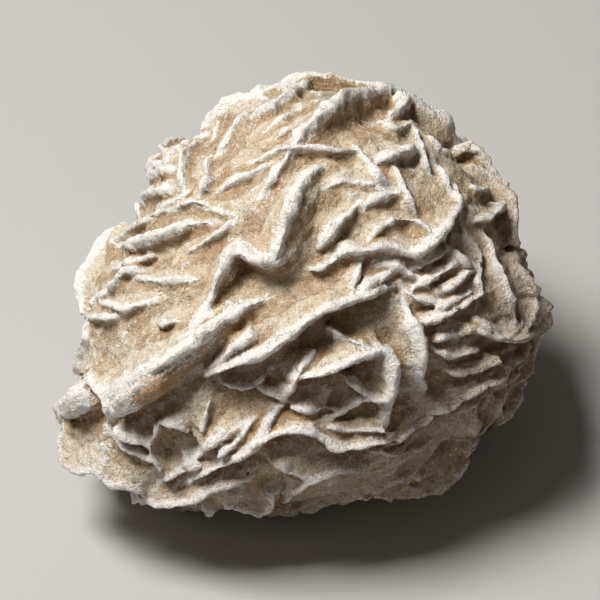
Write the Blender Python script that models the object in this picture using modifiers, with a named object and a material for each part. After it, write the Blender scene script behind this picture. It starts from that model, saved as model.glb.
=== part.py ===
"""Gypsum sand rose: one grown-together rosette of thick, sand-coloured gypsum blades, about 100 mm across.

Run with  blender --background --python part.py

The rose is a lumpy core with some three hundred blades grown out of it. Each blade is a loft along its
crest: a worn, rounded rim, a broad face that falls gently to the left of the crest's travel, and a
steep flank on its right. Blades and core are fused into one solid and worn flat underneath, where
the rose rests.

Shapes are worked out in face coordinates, in millimetres from the core's centre: u to the right, v up
along the leaning face of the rose, and w out of the face. FACE_TILT_DEG leans the face back, so that
it looks forward (-Y) and up (+Z).
"""

import math
import random
from collections import namedtuple

import bmesh
import bpy
from mathutils import Matrix, Vector, noise
from mathutils.kdtree import KDTree

MM = 0.001

# The core, in millimetres and degrees.
CORE_HEIGHT = 38.0  # from the surface that the rose rests on to the core's centre
CORE_FRONT_DEPTH = 37.0
CORE_BACK_DEPTH = 39.0
CORE_FULLNESS = 2.25  # exponent of the core's section: 2 is an ellipse, more is boxier
CORE_OUTLINE = (  # radius seen square to the face, every 15 degrees, anticlockwise from the right
    45.0, 42.0, 42.0, 41.0, 42.0, 41.5, 40.5, 39.0, 36.5, 38.2, 35.2, 37.0,
    41.5, 44.5, 51.0, 51.0, 47.0, 42.5, 40.5, 39.5, 41.0, 41.0, 43.0, 45.5,
)
CORE_LUMPS = (  # (u, v, w) direction, half width in degrees, height; a negative height is a hollow
    ((-10, -19, 30), 11, -3.5),
    ((-26, -29, 24), 8, -2.0),
    ((8, -21, 30), 9, -2.5),
    ((12, 37, 14), 8, -2.0),
    ((-39, 7, 14), 8, -2.0),
    ((28, -18, 26), 9, -1.5),
)
BACK_LUMPS = 34
BACK_LUMP_WIDTHS = (8.0, 16.0)  # half widths in degrees
BACK_LUMP_HEIGHTS = (-3.0, 3.0)
BACK_LUMP_EDGE = -0.25  # the back's lumps lie behind this share of w in their direction
FACE_TILT_DEG = 45.0
FACE_FOCUS = 700.0  # crest points are laid out at w = 0, along lines that meet this far in front

# The blades' sections.
BLADE_ROOT = 6.0  # how deep a blade is rooted in the core
FOOT_DEPTH = 1.2  # how far a blade's faces run on under the core's surface
STATION_SPACING = 1.4  # between the sections of a blade
RIM_ANGLES = (25, 0, -25, -50, -90)  # places round the rim, from the broad face over to the flank
FACE_PLACES = (0.65, 0.35, 0.12)  # places on the broad face, as shares of its run from the rim
FACE_HOLLOW = 1.2  # how hollow the broad face is: 1 is flat
TALLER = 1.2  # a blade whose crest is this many times as high carries the smaller ones on its face
PROUD = 0.9  # most height of a smaller blade over the face that it stands on
CARRY_DEPTH = 16.0  # nearer to the outline than this w, blades stand on the core alone
END_SWELL = 0.3  # a blade's least size at its ends, as a share of its size at its highest
UNEVEN_WAVELENGTH = 5.5
UNEVEN_SWELL = 0.35  # most change of a blade's size along its crest, as a share
UNEVEN_RISE = 0.4  # most change of its height
NORMAL_STEP = 1.5  # the core's slope is measured over this distance to either side

# Furrows in the core, along the flanks of the taller blades.
FURROW_RISE = 3.2  # crests lower than this have none
FURROW_SHARE = 0.36  # depth of a furrow, as a share of the crest's height
FURROW_ASIDE = 2.2  # from the flank to the furrow's middle
FURROW_WIDTH = 2.8  # at this distance from its middle a furrow has 0.37 of its depth
FURROW_FLOOR = (3.0, 12.0)  # heights over the ground at which furrows start and are full

# Fusing and wear.
FUSE_VOXEL = 0.75  # cell size with which blades and core are fused
WEAR_ROUNDS = 3  # smoothing passes that wear the fused rims and fill the corners with sand
TRIANGLES = 9400
GROUND_SIDE = 300.0
SAND_COLOUR = (0.52, 0.40, 0.28, 1.0)

Blade = namedtuple("Blade", "reach rim foot crest depth", defaults=((0.0, 0.0),))
# reach: how far the broad face runs, left of the crest's travel
# rim: thickness of the worn rim
# foot: how far the steep flank leans out, or undercuts where it is negative
# crest: points (u, v, rise), where rise is the crest's height over the core
# depth: where the crest makes the outline, its w at its first and last point

UPPER_LEFT_BLADES = [
    # Lobe and knobs along the upper left edge
    Blade(6.0, 2.2, -1.0, [
        (-7.2, 40.8, 0.4), (-9.5, 41.2, 1.4), (-12.5, 41.0, 2.2), (-15.2, 39.6, 2.6),
        (-17.4, 36.5, 2.6), (-19.6, 33.4, 2.2), (-20.9, 31.5, 1.0),
    ], (6.0, -4.0)),
    Blade(6.0, 2.2, -0.6, [
        (-20.6, 32.4, 0.5), (-22.4, 31.5, 1.2), (-25.4, 29.5, 1.4), (-28.2, 26.8, 1.2),
        (-30.0, 24.7, 0.6),
    ], (0.0, 3.0)),
    Blade(4.0, 3.0, 0.6, [
        (-31.9, 20.0, 2.0), (-30.6, 20.9, 2.4), (-28.6, 21.1, 1.9), (-26.6, 20.8, 0.7),
    ], (3.0, 9.0)),
    Blade(4.0, 1.8, 0.8, [
        (-30.6, 23.6, 1.2), (-28.2, 25.2, 1.9), (-26.2, 25.5, 1.3), (-24.8, 25.2, 0.5),
    ], (-2.0, 7.0)),
    Blade(4.0, 1.5, 0.6, [
        (-23.6, 21.8, 0.5), (-24.2, 24.4, 1.8), (-24.1, 27.2, 2.2), (-23.0, 29.6, 2.0),
        (-21.3, 31.2, 1.4),
    ]),
    Blade(4.0, 1.4, 0.6, [
        (-20.4, 20.0, 0.4), (-19.4, 22.5, 1.6), (-19.2, 25.0, 1.9), (-18.5, 27.7, 0.6),
    ]),
    Blade(2.5, 1.0, 0.4, [
        (-19.6, 21.6, 0.8), (-18.4, 22.9, 1.2), (-17.2, 23.6, 0.4),
    ]),
    Blade(4.0, 1.0, 0.3, [
        (-17.8, 31.2, 0.4), (-17.2, 33.0, 1.3), (-16.7, 34.8, 0.5),
    ]),
    # Long parallel blades of the upper left face
    Blade(5.5, 1.6, 0.8, [
        (-16.8, 28.2, 0.4), (-15.4, 31.0, 1.7), (-14.0, 33.6, 2.0), (-12.0, 35.6, 1.5),
        (-9.8, 37.0, 0.5),
    ]),
    Blade(6.0, 1.9, 1.0, [
        (-9.3, 36.0, 0.6), (-7.3, 37.8, 2.2), (-4.5, 39.6, 2.5), (-1.8, 41.3, 2.2), (1.5, 42.7, 1.0),
    ]),
    Blade(4.0, 0.9, 0.4, [
        (-6.4, 33.4, 0.2), (-3.6, 35.7, 0.8), (-0.9, 37.4, 0.3),
    ]),
    Blade(4.0, 0.8, 0.4, [
        (-5.2, 31.3, 0.2), (-2.6, 33.4, 0.7), (-0.7, 34.8, 0.3),
    ]),
    Blade(7.5, 3.2, 1.6, [
        (-0.7, 29.8, 1.5), (0.5, 33.0, 3.0), (3.0, 35.8, 4.2), (6.0, 38.4, 4.6), (9.6, 40.6, 4.4),
        (14.0, 41.5, 3.8), (18.6, 41.9, 3.0), (21.0, 41.0, 1.2),
    ], (8.0, 2.0)),
    # Top edge behind it
    Blade(7.5, 2.4, -0.6, [
        (-9.8, 39.9, 0.4), (-7.5, 41.6, 1.2), (-4.0, 43.0, 1.8), (0.0, 44.1, 2.4), (3.5, 44.7, 2.6),
        (7.5, 44.4, 2.6), (12.0, 43.4, 2.4), (17.0, 42.3, 2.0), (21.5, 41.2, 1.2), (24.5, 38.6, 0.4),
    ], (1.0, -6.0)),
    Blade(5.0, 1.8, -0.4, [
        (-9.6, 26.7, 0.4), (-6.8, 28.3, 1.7), (-4.0, 29.4, 2.4), (-1.0, 29.9, 3.0), (3.0, 29.9, 2.8),
        (7.0, 29.6, 2.4), (10.5, 29.6, 2.0), (12.6, 29.1, 1.0),
    ]),
    Blade(5.0, 1.5, 0.8, [
        (-7.6, 20.6, 0.3), (-6.0, 23.0, 1.5), (-4.5, 25.3, 2.0), (-2.8, 27.4, 2.4), (-1.2, 29.2, 2.0),
    ]),
    Blade(5.0, 1.3, 0.2, [
        (-16.0, 21.0, 0.3), (-14.0, 22.9, 1.5), (-12.0, 23.8, 1.9), (-9.5, 24.7, 1.5),
        (-6.4, 25.8, 0.4),
    ]),
    Blade(4.0, 1.0, 0.4, [
        (-28.2, 17.2, 0.3), (-26.0, 19.0, 1.2), (-24.0, 20.3, 0.4),
    ]),
    Blade(4.0, 1.1, 0.2, [
        (-25.5, 17.7, 0.3), (-23.0, 18.6, 1.5), (-20.8, 18.7, 1.5), (-18.6, 18.1, 0.4),
    ]),
    Blade(4.0, 1.0, 0.3, [
        (-19.8, 17.4, 0.3), (-17.0, 17.1, 1.1), (-14.0, 16.3, 0.3),
    ]),
    Blade(4.0, 1.4, 0.3, [
        (-38.0, 11.0, 0.7), (-34.6, 13.4, 1.6), (-31.0, 15.3, 1.7), (-28.0, 16.7, 1.0),
        (-25.0, 17.3, 0.3),
    ]),
    Blade(4.5, 2.2, 0.8, [
        (-37.2, 9.9, 1.4), (-34.0, 10.8, 3.2), (-30.0, 11.9, 3.5), (-26.5, 13.0, 3.0),
        (-23.0, 14.2, 2.4), (-20.0, 14.8, 1.6), (-17.3, 14.8, 0.5),
    ]),
    Blade(5.0, 1.3, 0.3, [
        (-22.7, 8.4, 0.3), (-20.5, 10.2, 1.3), (-18.0, 11.7, 1.8), (-15.4, 13.3, 1.4),
        (-13.8, 14.2, 0.4),
    ]),
]

LEFT_BLADES = [
    # Rim of the big left lobe, and the blades behind it
    Blade(5.0, 2.2, -0.5, [
        (-34.2, 14.3, 0.8), (-37.5, 13.7, 1.8), (-40.2, 11.7, 2.2), (-42.6, 8.3, 2.4),
        (-44.7, 5.2, 2.6), (-45.6, 2.0, 2.6), (-45.1, -1.2, 2.0), (-44.0, -3.8, 1.0),
    ], (-5.0, 7.0)),
    Blade(4.0, 1.1, 0.2, [
        (-37.6, 5.2, 0.5), (-35.0, 6.6, 1.3), (-32.0, 7.3, 1.1), (-29.3, 7.9, 0.3),
    ]),
    Blade(4.0, 1.6, 0.5, [
        (-41.2, -0.8, 0.7), (-38.8, 1.6, 2.3), (-36.9, 4.2, 2.8), (-34.8, 5.2, 2.3), (-32.3, 4.9, 0.6),
    ]),
    Blade(4.0, 1.2, 0.2, [
        (-32.8, 3.4, 0.4), (-29.5, 2.9, 1.5), (-26.0, 2.9, 1.5), (-22.2, 3.2, 0.4),
    ]),
    Blade(4.5, 1.5, 0.2, [
        (-40.6, -1.4, 0.8), (-38.3, -2.3, 2.3), (-36.0, -3.0, 2.1), (-33.5, -2.4, 1.4),
        (-29.8, -1.1, 0.4),
    ]),
    Blade(4.0, 1.4, -0.5, [
        (-43.8, -4.1, 1.4), (-41.0, -4.6, 2.5), (-38.6, -4.8, 2.5), (-36.0, -4.3, 0.9),
    ]),
    Blade(2.5, 0.9, 0.3, [
        (-43.0, -4.0, 0.4), (-42.1, -1.5, 1.1), (-41.2, 0.4, 0.4),
    ]),
    Blade(4.0, 1.8, 0.0, [
        (-43.8, -6.2, 0.8), (-44.1, -8.6, 1.8), (-45.1, -11.2, 2.2), (-45.7, -13.6, 2.2),
        (-45.2, -15.9, 1.0),
    ], (8.0, -2.0)),
    Blade(4.0, 1.0, 0.2, [
        (-28.4, -6.2, 0.2), (-26.2, -5.5, 0.9), (-24.2, -5.0, 0.3),
    ]),
    Blade(3.0, 1.0, 0.3, [
        (-24.2, -9.0, 0.2), (-22.2, -7.2, 0.9), (-20.2, -5.6, 0.7), (-18.0, -4.0, 0.2),
    ]),
    # Thick end at the far left, and the rim that runs down from it
    Blade(7.5, 6.4, 3.0, [
        (-48.6, -25.2, 3.6), (-49.0, -23.4, 5.2), (-47.2, -21.2, 5.6), (-44.8, -19.2, 4.6),
        (-42.2, -17.2, 1.8),
    ], (0.0, 15.0)),
    Blade(5.5, 1.5, -0.8, [
        (-43.6, -16.4, 2.4), (-42.0, -18.4, 3.4), (-40.5, -20.7, 3.6), (-39.6, -23.0, 3.2),
        (-39.0, -25.4, 1.8),
    ], (15.0, 18.0)),
]

CENTRE_BLADES = [
    # Crown: a steep blade, a broad link and the long straight blade that stands over the face
    Blade(9.0, 2.0, -0.2, [
        (-20.2, -5.6, 0.5), (-18.6, -2.3, 2.4), (-17.3, 0.8, 3.6), (-16.2, 4.0, 4.4), (-14.7, 6.8, 4.9),
        (-14.0, 8.6, 4.8), (-14.4, 10.6, 2.6),
    ]),
    Blade(7.5, 2.6, -0.4, [
        (-14.3, 10.4, 2.4), (-12.3, 8.8, 4.2), (-10.5, 7.4, 4.8), (-8.3, 6.4, 5.0), (-6.2, 6.4, 5.0),
        (-4.6, 6.9, 4.2),
    ]),
    Blade(9.0, 2.6, 3.4, [
        (-5.8, 6.0, 4.2), (-4.4, 9.5, 5.8), (-3.1, 13.0, 5.9), (-1.9, 16.5, 5.5), (-0.6, 20.0, 4.8),
        (1.0, 23.2, 3.4), (2.8, 25.0, 1.6), (4.6, 25.7, 0.5),
    ]),
    Blade(4.0, 1.0, 0.2, [
        (6.0, 21.8, 0.2), (9.0, 23.0, 0.9), (12.0, 22.8, 0.9), (15.0, 22.0, 0.3),
    ]),
    Blade(5.0, 1.7, 0.7, [
        (3.6, 9.0, 0.4), (5.5, 11.2, 2.0), (7.3, 13.3, 2.6), (9.0, 15.2, 2.4), (10.7, 16.8, 1.6),
        (12.2, 18.5, 0.5),
    ]),
    Blade(4.5, 1.4, 0.3, [
        (13.2, 17.4, 0.4), (15.0, 18.8, 1.6), (17.0, 19.8, 1.8), (19.5, 20.4, 1.0), (21.0, 20.6, 0.3),
    ]),
    Blade(4.0, 1.3, 0.2, [
        (1.6, 4.5, 0.4), (3.6, 4.9, 1.4), (5.3, 5.6, 1.4), (7.6, 7.2, 0.7),
    ]),
    # Crescent that sweeps up to the right, with the arcs inside it
    Blade(6.0, 2.0, 1.2, [
        (7.5, 7.6, 0.7), (10.0, 8.6, 2.9), (13.0, 8.7, 3.5), (16.5, 9.3, 3.0), (19.5, 9.2, 2.9),
        (22.5, 8.4, 3.2), (25.0, 8.7, 3.7), (27.3, 10.5, 4.1), (29.5, 12.8, 4.1), (31.2, 15.2, 3.2),
        (32.4, 17.4, 1.4),
    ]),
    Blade(4.0, 1.2, 0.2, [
        (14.3, 11.6, 0.3), (16.8, 13.8, 1.5), (19.3, 15.2, 1.7), (22.0, 15.1, 1.5), (24.5, 14.4, 1.0),
        (26.6, 13.5, 0.3),
    ]),
    Blade(4.0, 1.2, 0.3, [
        (32.9, 17.2, 1.0), (32.4, 19.5, 1.7), (31.8, 21.3, 1.3), (30.7, 22.9, 0.4),
    ]),
    Blade(4.0, 1.1, 0.2, [
        (10.9, 1.6, 0.3), (11.6, 3.8, 1.3), (12.3, 6.0, 1.2), (12.7, 7.6, 0.4),
    ]),
    Blade(3.0, 2.0, 0.2, [
        (13.5, 1.3, 0.7), (15.5, 2.8, 2.0), (17.8, 4.0, 1.4), (19.7, 5.1, 0.5),
    ]),
]

UPPER_RIGHT_BLADES = [
    Blade(5.0, 1.1, 0.5, [
        (23.6, 16.4, 0.3), (22.4, 19.3, 1.4), (21.3, 22.0, 1.8), (20.2, 24.6, 1.4), (19.2, 26.2, 0.4),
    ]),
    Blade(4.0, 1.4, 0.8, [
        (26.5, 24.6, 0.4), (25.8, 27.3, 1.7), (25.3, 29.8, 2.1), (24.3, 32.2, 1.9), (23.0, 34.2, 0.7),
    ]),
    Blade(4.0, 1.3, 0.4, [
        (30.8, 20.0, 0.5), (30.1, 23.0, 1.6), (29.2, 25.3, 1.7), (27.5, 26.8, 0.5),
    ]),
    Blade(4.0, 1.4, 0.3, [
        (17.6, 22.6, 0.4), (16.0, 24.6, 1.6), (14.3, 26.8, 1.8), (12.6, 28.8, 1.6), (11.4, 30.2, 0.5),
    ]),
    Blade(5.0, 2.6, 0.0, [
        (15.7, 26.7, 0.5), (18.0, 27.7, 2.2), (20.5, 28.7, 2.7), (22.8, 29.3, 2.2), (24.5, 29.4, 0.7),
    ]),
    Blade(4.0, 2.8, 0.2, [
        (18.0, 35.8, 0.7), (19.8, 37.8, 2.6), (21.6, 39.0, 3.0), (23.2, 40.1, 2.0),
    ]),
    Blade(3.0, 1.4, 0.0, [
        (15.8, 34.9, 0.4), (18.3, 34.4, 1.7), (20.5, 34.0, 1.7), (22.7, 34.2, 0.5),
    ]),
    Blade(6.0, 2.0, -0.5, [
        (33.6, 29.0, 0.5), (32.0, 31.4, 1.2), (31.0, 33.5, 1.8), (29.8, 36.0, 2.0), (27.5, 37.8, 2.2),
        (25.0, 38.9, 2.2), (22.4, 40.3, 1.6), (19.5, 40.8, 0.4),
    ], (-4.0, 6.0)),
    Blade(3.0, 2.2, 0.0, [
        (30.3, 28.8, 0.5), (32.0, 30.4, 2.3), (33.8, 31.4, 3.0), (35.1, 30.9, 2.2),
    ]),
    Blade(3.0, 1.1, 0.4, [
        (31.2, 27.0, 0.4), (29.0, 29.2, 1.3), (27.3, 30.9, 1.4), (25.3, 32.2, 0.4),
    ]),
    # Open ring of a small blade at the right edge
    Blade(4.0, 1.7, 0.8, [
        (35.1, 14.7, 0.7), (38.0, 15.4, 2.3), (40.2, 16.9, 2.8), (41.4, 19.0, 2.5), (41.0, 21.2, 2.3),
        (39.4, 23.8, 2.2), (37.2, 25.5, 1.8), (34.3, 26.5, 0.5),
    ]),
    Blade(2.5, 1.3, 0.2, [
        (34.1, 22.3, 0.3), (36.0, 21.5, 1.5), (38.2, 20.5, 0.5),
    ]),
    Blade(5.0, 2.0, -0.3, [
        (44.3, 9.6, 1.2), (44.0, 13.5, 1.8), (43.9, 16.5, 2.0), (42.8, 19.8, 2.0), (41.5, 21.8, 2.0),
        (39.6, 25.0, 2.2), (37.6, 28.0, 2.2), (35.2, 30.4, 1.6), (32.6, 31.6, 0.4),
    ], (7.0, -6.0)),
]

RIGHT_BLADES = [
    # Onion-like shells that wrap the right edge
    Blade(4.0, 1.6, 0.7, [
        (43.7, -8.3, 0.7), (43.6, -5.0, 2.2), (43.2, -2.0, 2.5), (42.3, 1.2, 2.5), (41.3, 4.0, 2.5),
        (40.0, 6.6, 2.2), (38.9, 9.5, 1.5), (37.2, 12.2, 0.5),
    ]),
    Blade(4.0, 2.3, 0.5, [
        (43.6, -8.5, 1.4), (45.5, -7.3, 3.2), (47.3, -5.0, 3.6), (48.0, -2.0, 3.6), (47.5, 1.0, 3.4),
        (46.0, 4.0, 3.1), (44.3, 6.8, 2.2), (42.5, 9.0, 1.0), (41.3, 10.7, 0.4),
    ]),
    Blade(4.0, 2.5, -0.3, [
        (46.8, -12.2, 0.6), (49.2, -8.2, 2.0), (50.0, -4.5, 2.6), (49.8, -2.0, 2.6), (48.6, 0.5, 2.6),
        (47.0, 3.2, 2.4), (45.2, 6.0, 2.0), (44.4, 9.0, 1.0),
    ], (-6.0, 5.0)),
    Blade(3.0, 1.2, 0.2, [
        (36.9, 0.0, 1.2), (36.6, 2.5, 1.5), (36.9, 5.0, 1.5), (36.6, 7.3, 1.1), (35.5, 9.2, 0.3),
    ]),
    Blade(4.0, 1.7, 0.0, [
        (25.0, -6.3, 1.0), (27.5, -5.3, 2.3), (30.0, -4.3, 2.8), (32.5, -2.8, 2.8), (35.0, -1.2, 2.3),
        (37.2, 0.3, 1.1),
    ]),
    Blade(3.0, 1.3, 0.2, [
        (28.4, -3.0, 0.3), (30.5, -1.7, 1.5), (32.5, -0.5, 1.5), (34.8, 0.9, 0.4),
    ]),
    Blade(3.0, 1.7, 0.2, [
        (29.0, 0.6, 0.4), (31.0, 2.0, 1.9), (33.0, 3.7, 1.9), (35.5, 5.5, 0.7),
    ]),
    Blade(3.0, 1.5, 0.2, [
        (22.8, 1.3, 0.4), (25.5, 2.6, 1.4), (28.0, 4.2, 1.9), (30.0, 5.5, 1.6), (31.5, 6.5, 0.4),
    ]),
    Blade(3.0, 1.1, 0.2, [
        (23.3, 5.4, 0.4), (26.0, 6.8, 1.4), (28.3, 8.2, 1.4), (30.2, 9.7, 0.4),
    ]),
    Blade(3.0, 1.2, 0.3, [
        (35.2, 5.3, 0.4), (33.3, 7.0, 1.4), (31.7, 8.3, 1.4), (30.2, 9.9, 0.4),
    ]),
    Blade(3.0, 1.3, 0.2, [
        (21.3, 0.9, 0.4), (23.5, -0.5, 1.4), (25.5, -1.3, 1.4), (27.7, -1.7, 0.4),
    ]),
    Blade(4.0, 1.5, 0.2, [
        (16.6, 5.8, 0.4), (19.0, 6.0, 1.5), (21.3, 4.8, 1.6), (23.0, 3.5, 1.1), (24.7, 2.2, 0.3),
    ]),
    # Thick upright blade, and what lies to its right
    Blade(5.5, 2.4, 0.7, [
        (25.3, -19.0, 1.0), (25.0, -16.5, 3.5), (25.3, -13.5, 4.2), (25.2, -11.0, 4.2),
        (24.8, -8.5, 4.0), (23.7, -6.0, 3.4), (22.5, -3.6, 2.2), (21.5, -1.1, 0.6),
    ]),
    Blade(3.0, 1.1, 0.2, [
        (26.8, -9.6, 0.4), (28.8, -9.0, 1.4), (31.2, -8.3, 0.5),
    ]),
    Blade(3.0, 1.1, -0.2, [
        (26.8, -11.4, 0.5), (29.0, -12.3, 1.5), (31.0, -12.6, 1.5), (33.5, -11.8, 1.1),
        (36.2, -10.9, 0.4),
    ]),
    Blade(3.0, 1.5, 0.0, [
        (34.8, -4.8, 0.5), (36.8, -5.9, 1.8), (39.0, -7.3, 1.5),
    ]),
    Blade(5.0, 1.7, -1.2, [
        (32.0, -8.1, 0.5), (34.5, -7.3, 1.8), (36.8, -7.6, 3.0), (39.0, -8.4, 3.8), (42.0, -9.3, 4.2),
        (45.0, -8.8, 4.2), (48.0, -7.4, 3.6),
    ]),
]

LOWER_CENTRE_BLADES = [
    # The big blade with its thick, blunt end, and the second long blade
    Blade(11.0, 3.2, 3.0, [
        (-38.4, -20.3, 3.6), (-36.0, -18.8, 5.6), (-32.5, -16.7, 7.0), (-29.0, -14.6, 7.5),
        (-25.5, -12.4, 7.4), (-22.0, -9.9, 6.8), (-19.0, -7.8, 6.0), (-16.0, -6.0, 5.0),
        (-12.8, -3.9, 3.8), (-10.0, -2.2, 2.4), (-7.6, -0.9, 0.8),
    ]),
    Blade(5.0, 5.8, 0.4, [
        (-38.0, -23.6, 4.6), (-35.6, -21.6, 6.6), (-32.6, -19.2, 7.2), (-29.4, -16.8, 7.0),
        (-25.8, -14.2, 6.0), (-22.0, -11.6, 4.2),
    ]),
    Blade(9.0, 2.3, -0.6, [
        (-19.2, -16.5, 1.0), (-16.0, -15.7, 4.0), (-12.5, -14.1, 5.6), (-9.0, -12.7, 6.1),
        (-5.8, -11.0, 6.1), (-2.8, -8.8, 6.0), (0.0, -6.8, 6.0), (2.3, -4.9, 6.0), (5.0, -3.6, 5.6),
        (8.5, -2.4, 5.0), (12.0, -0.9, 4.2), (15.0, 0.2, 3.2), (17.7, 1.3, 1.5),
    ]),
    Blade(4.0, 2.2, 0.5, [
        (-19.5, -15.5, 0.8), (-17.0, -13.8, 2.4), (-14.5, -11.9, 3.4), (-12.0, -10.0, 3.2),
        (-9.3, -8.2, 1.2),
    ]),
    Blade(5.0, 1.5, 0.8, [
        (14.9, -11.4, 2.4), (12.3, -10.2, 2.9), (10.0, -9.1, 2.9), (7.8, -7.7, 2.4), (5.6, -6.2, 1.3),
    ]),
    # Three-sided pocket
    Blade(5.0, 1.5, 0.0, [
        (-3.7, -21.2, 0.8), (-1.8, -19.4, 3.0), (-0.7, -17.3, 4.6), (0.2, -15.4, 4.2),
        (1.4, -13.2, 2.5), (2.8, -11.0, 0.8),
    ]),
    Blade(6.0, 2.1, -1.0, [
        (-0.9, -17.0, 3.4), (2.0, -16.8, 4.9), (5.5, -16.0, 5.4), (9.0, -14.7, 5.4), (12.3, -13.0, 5.2),
        (15.0, -11.8, 4.8), (17.0, -11.5, 4.2),
    ]),
    Blade(5.0, 2.2, 0.4, [
        (17.1, -27.4, 0.8), (18.2, -24.5, 2.9), (19.0, -21.5, 4.2), (19.3, -18.0, 4.7),
        (19.1, -14.8, 4.7), (18.2, -12.6, 4.5), (16.5, -11.3, 3.8),
    ]),
    Blade(5.0, 1.8, -0.5, [
        (8.8, -17.0, 2.4), (10.8, -18.6, 3.6), (12.3, -20.0, 3.8), (14.0, -21.0, 3.0),
        (15.7, -21.4, 1.4),
    ]),
    Blade(4.0, 1.4, -0.8, [
        (6.6, -24.6, 0.8), (8.8, -23.7, 2.1), (11.0, -22.5, 2.9), (13.0, -21.6, 3.1),
        (15.5, -21.6, 2.9), (18.2, -22.0, 2.0),
    ]),
    # Thin rims in the shadow under them
    Blade(4.0, 1.4, 0.0, [
        (-15.6, -17.9, 0.9), (-13.0, -19.0, 2.0), (-10.5, -19.0, 2.2), (-8.3, -17.9, 2.0),
        (-6.9, -16.4, 0.9),
    ]),
    Blade(5.0, 1.0, -0.3, [
        (-8.5, -18.8, 0.7), (-6.5, -20.0, 1.9), (-4.5, -20.9, 2.1), (-2.6, -21.4, 0.9),
    ]),
    Blade(4.0, 1.0, -0.5, [
        (-2.2, -22.7, 0.9), (0.5, -23.4, 2.1), (2.8, -23.7, 2.1), (5.0, -23.3, 1.8), (7.2, -23.3, 0.7),
    ]),
    Blade(3.0, 1.1, 0.0, [
        (5.8, -26.6, 0.5), (8.5, -27.2, 1.6), (11.5, -27.5, 1.7), (14.5, -27.9, 1.6),
        (17.2, -27.9, 0.7),
    ]),
    Blade(4.0, 0.9, 0.3, [
        (-19.6, -27.7, 0.4), (-18.8, -25.0, 1.2), (-18.2, -22.0, 1.2), (-17.7, -20.3, 0.4),
    ]),
]

LOWER_LEFT_BLADES = [
    # Long S-shaped rim with the blades that rise from it
    Blade(6.0, 1.4, -1.5, [
        (-24.2, -39.0, 1.0), (-21.0, -37.2, 2.9), (-17.5, -35.5, 3.6), (-14.0, -34.0, 3.9),
        (-11.0, -32.4, 4.2), (-8.5, -30.3, 4.4), (-6.0, -29.1, 4.4), (-2.5, -28.4, 4.4),
        (1.0, -28.0, 4.4), (3.3, -28.8, 4.4), (5.3, -30.3, 4.7), (8.0, -31.3, 5.0), (11.5, -30.9, 4.7),
        (15.0, -30.2, 4.2), (18.0, -29.7, 3.0), (20.2, -29.1, 1.2),
    ]),
    Blade(4.0, 1.4, 0.3, [
        (-7.8, -29.6, 3.6), (-7.0, -27.2, 3.7), (-6.0, -25.0, 3.1), (-4.8, -23.4, 1.9),
        (-3.4, -21.8, 0.6),
    ]),
    Blade(3.0, 1.1, 0.3, [
        (-16.7, -33.2, 0.8), (-14.0, -31.0, 2.2), (-11.8, -28.8, 2.7), (-10.2, -26.6, 2.4),
        (-8.7, -24.4, 1.0),
    ]),
    Blade(6.0, 1.5, 0.0, [
        (-23.5, -35.0, 0.8), (-20.8, -33.3, 2.4), (-18.3, -31.2, 3.2), (-16.0, -29.2, 3.2),
        (-13.8, -27.6, 2.7), (-11.5, -26.1, 1.0),
    ]),
    Blade(4.0, 1.2, 0.0, [
        (-29.8, -38.4, 0.5), (-26.5, -37.3, 1.6), (-23.8, -36.0, 1.8), (-20.8, -34.8, 0.7),
    ]),
    # Small open box and the stacked shells beside it
    Blade(4.5, 1.5, -0.2, [
        (-27.8, -35.8, 0.7), (-29.3, -33.3, 2.8), (-30.1, -31.0, 3.6), (-29.4, -28.8, 3.6),
        (-28.9, -27.3, 2.9), (-29.6, -26.0, 1.0),
    ]),
    Blade(4.0, 1.1, -0.8, [
        (-28.5, -25.9, 1.6), (-26.5, -26.4, 3.0), (-24.5, -27.0, 3.0), (-22.3, -27.9, 1.8),
        (-20.8, -28.4, 0.5),
    ]),
    Blade(2.5, 1.0, -0.4, [
        (-38.2, -23.8, 1.4), (-39.0, -26.0, 2.2), (-38.0, -28.7, 2.6), (-35.8, -30.9, 2.8),
        (-33.5, -32.0, 2.9), (-31.3, -32.9, 2.1), (-29.8, -33.7, 0.8),
    ]),
    Blade(3.0, 1.4, -0.6, [
        (-37.8, -26.6, 2.4), (-36.5, -28.5, 3.6), (-34.3, -29.8, 4.0), (-31.8, -30.5, 3.6),
        (-30.1, -31.1, 1.6),
    ]),
    # Broad plates of the lower left, seen on their faces
    Blade(15.0, 1.4, -3.5, [
        (-47.6, -25.6, 2.0), (-48.9, -28.5, 5.0), (-48.8, -31.2, 6.0), (-47.8, -34.0, 6.5),
        (-45.5, -35.8, 6.5), (-42.0, -36.2, 6.0), (-39.7, -37.8, 6.0), (-36.5, -39.0, 5.5),
        (-33.5, -39.8, 5.0), (-31.0, -40.4, 3.0),
    ], (6.0, 6.0)),
    Blade(7.5, 1.2, -2.5, [
        (-33.6, -42.1, 4.5), (-30.5, -42.4, 5.5), (-27.5, -42.7, 5.5), (-24.0, -42.3, 5.0),
        (-20.5, -41.3, 4.6), (-17.5, -40.1, 4.2), (-14.5, -38.8, 3.6), (-11.5, -37.9, 2.6),
        (-8.5, -37.0, 1.0),
    ], (7.0, 12.0)),
    Blade(7.5, 1.1, -1.5, [
        (-20.0, -42.8, 2.0), (-18.4, -44.0, 3.5), (-15.0, -43.4, 3.8), (-11.5, -43.9, 4.0),
        (-8.2, -44.4, 4.4), (-5.8, -43.2, 4.2), (-5.0, -41.3, 3.6), (-4.6, -39.2, 1.2),
    ], (-3.0, 6.0)),
]

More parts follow.
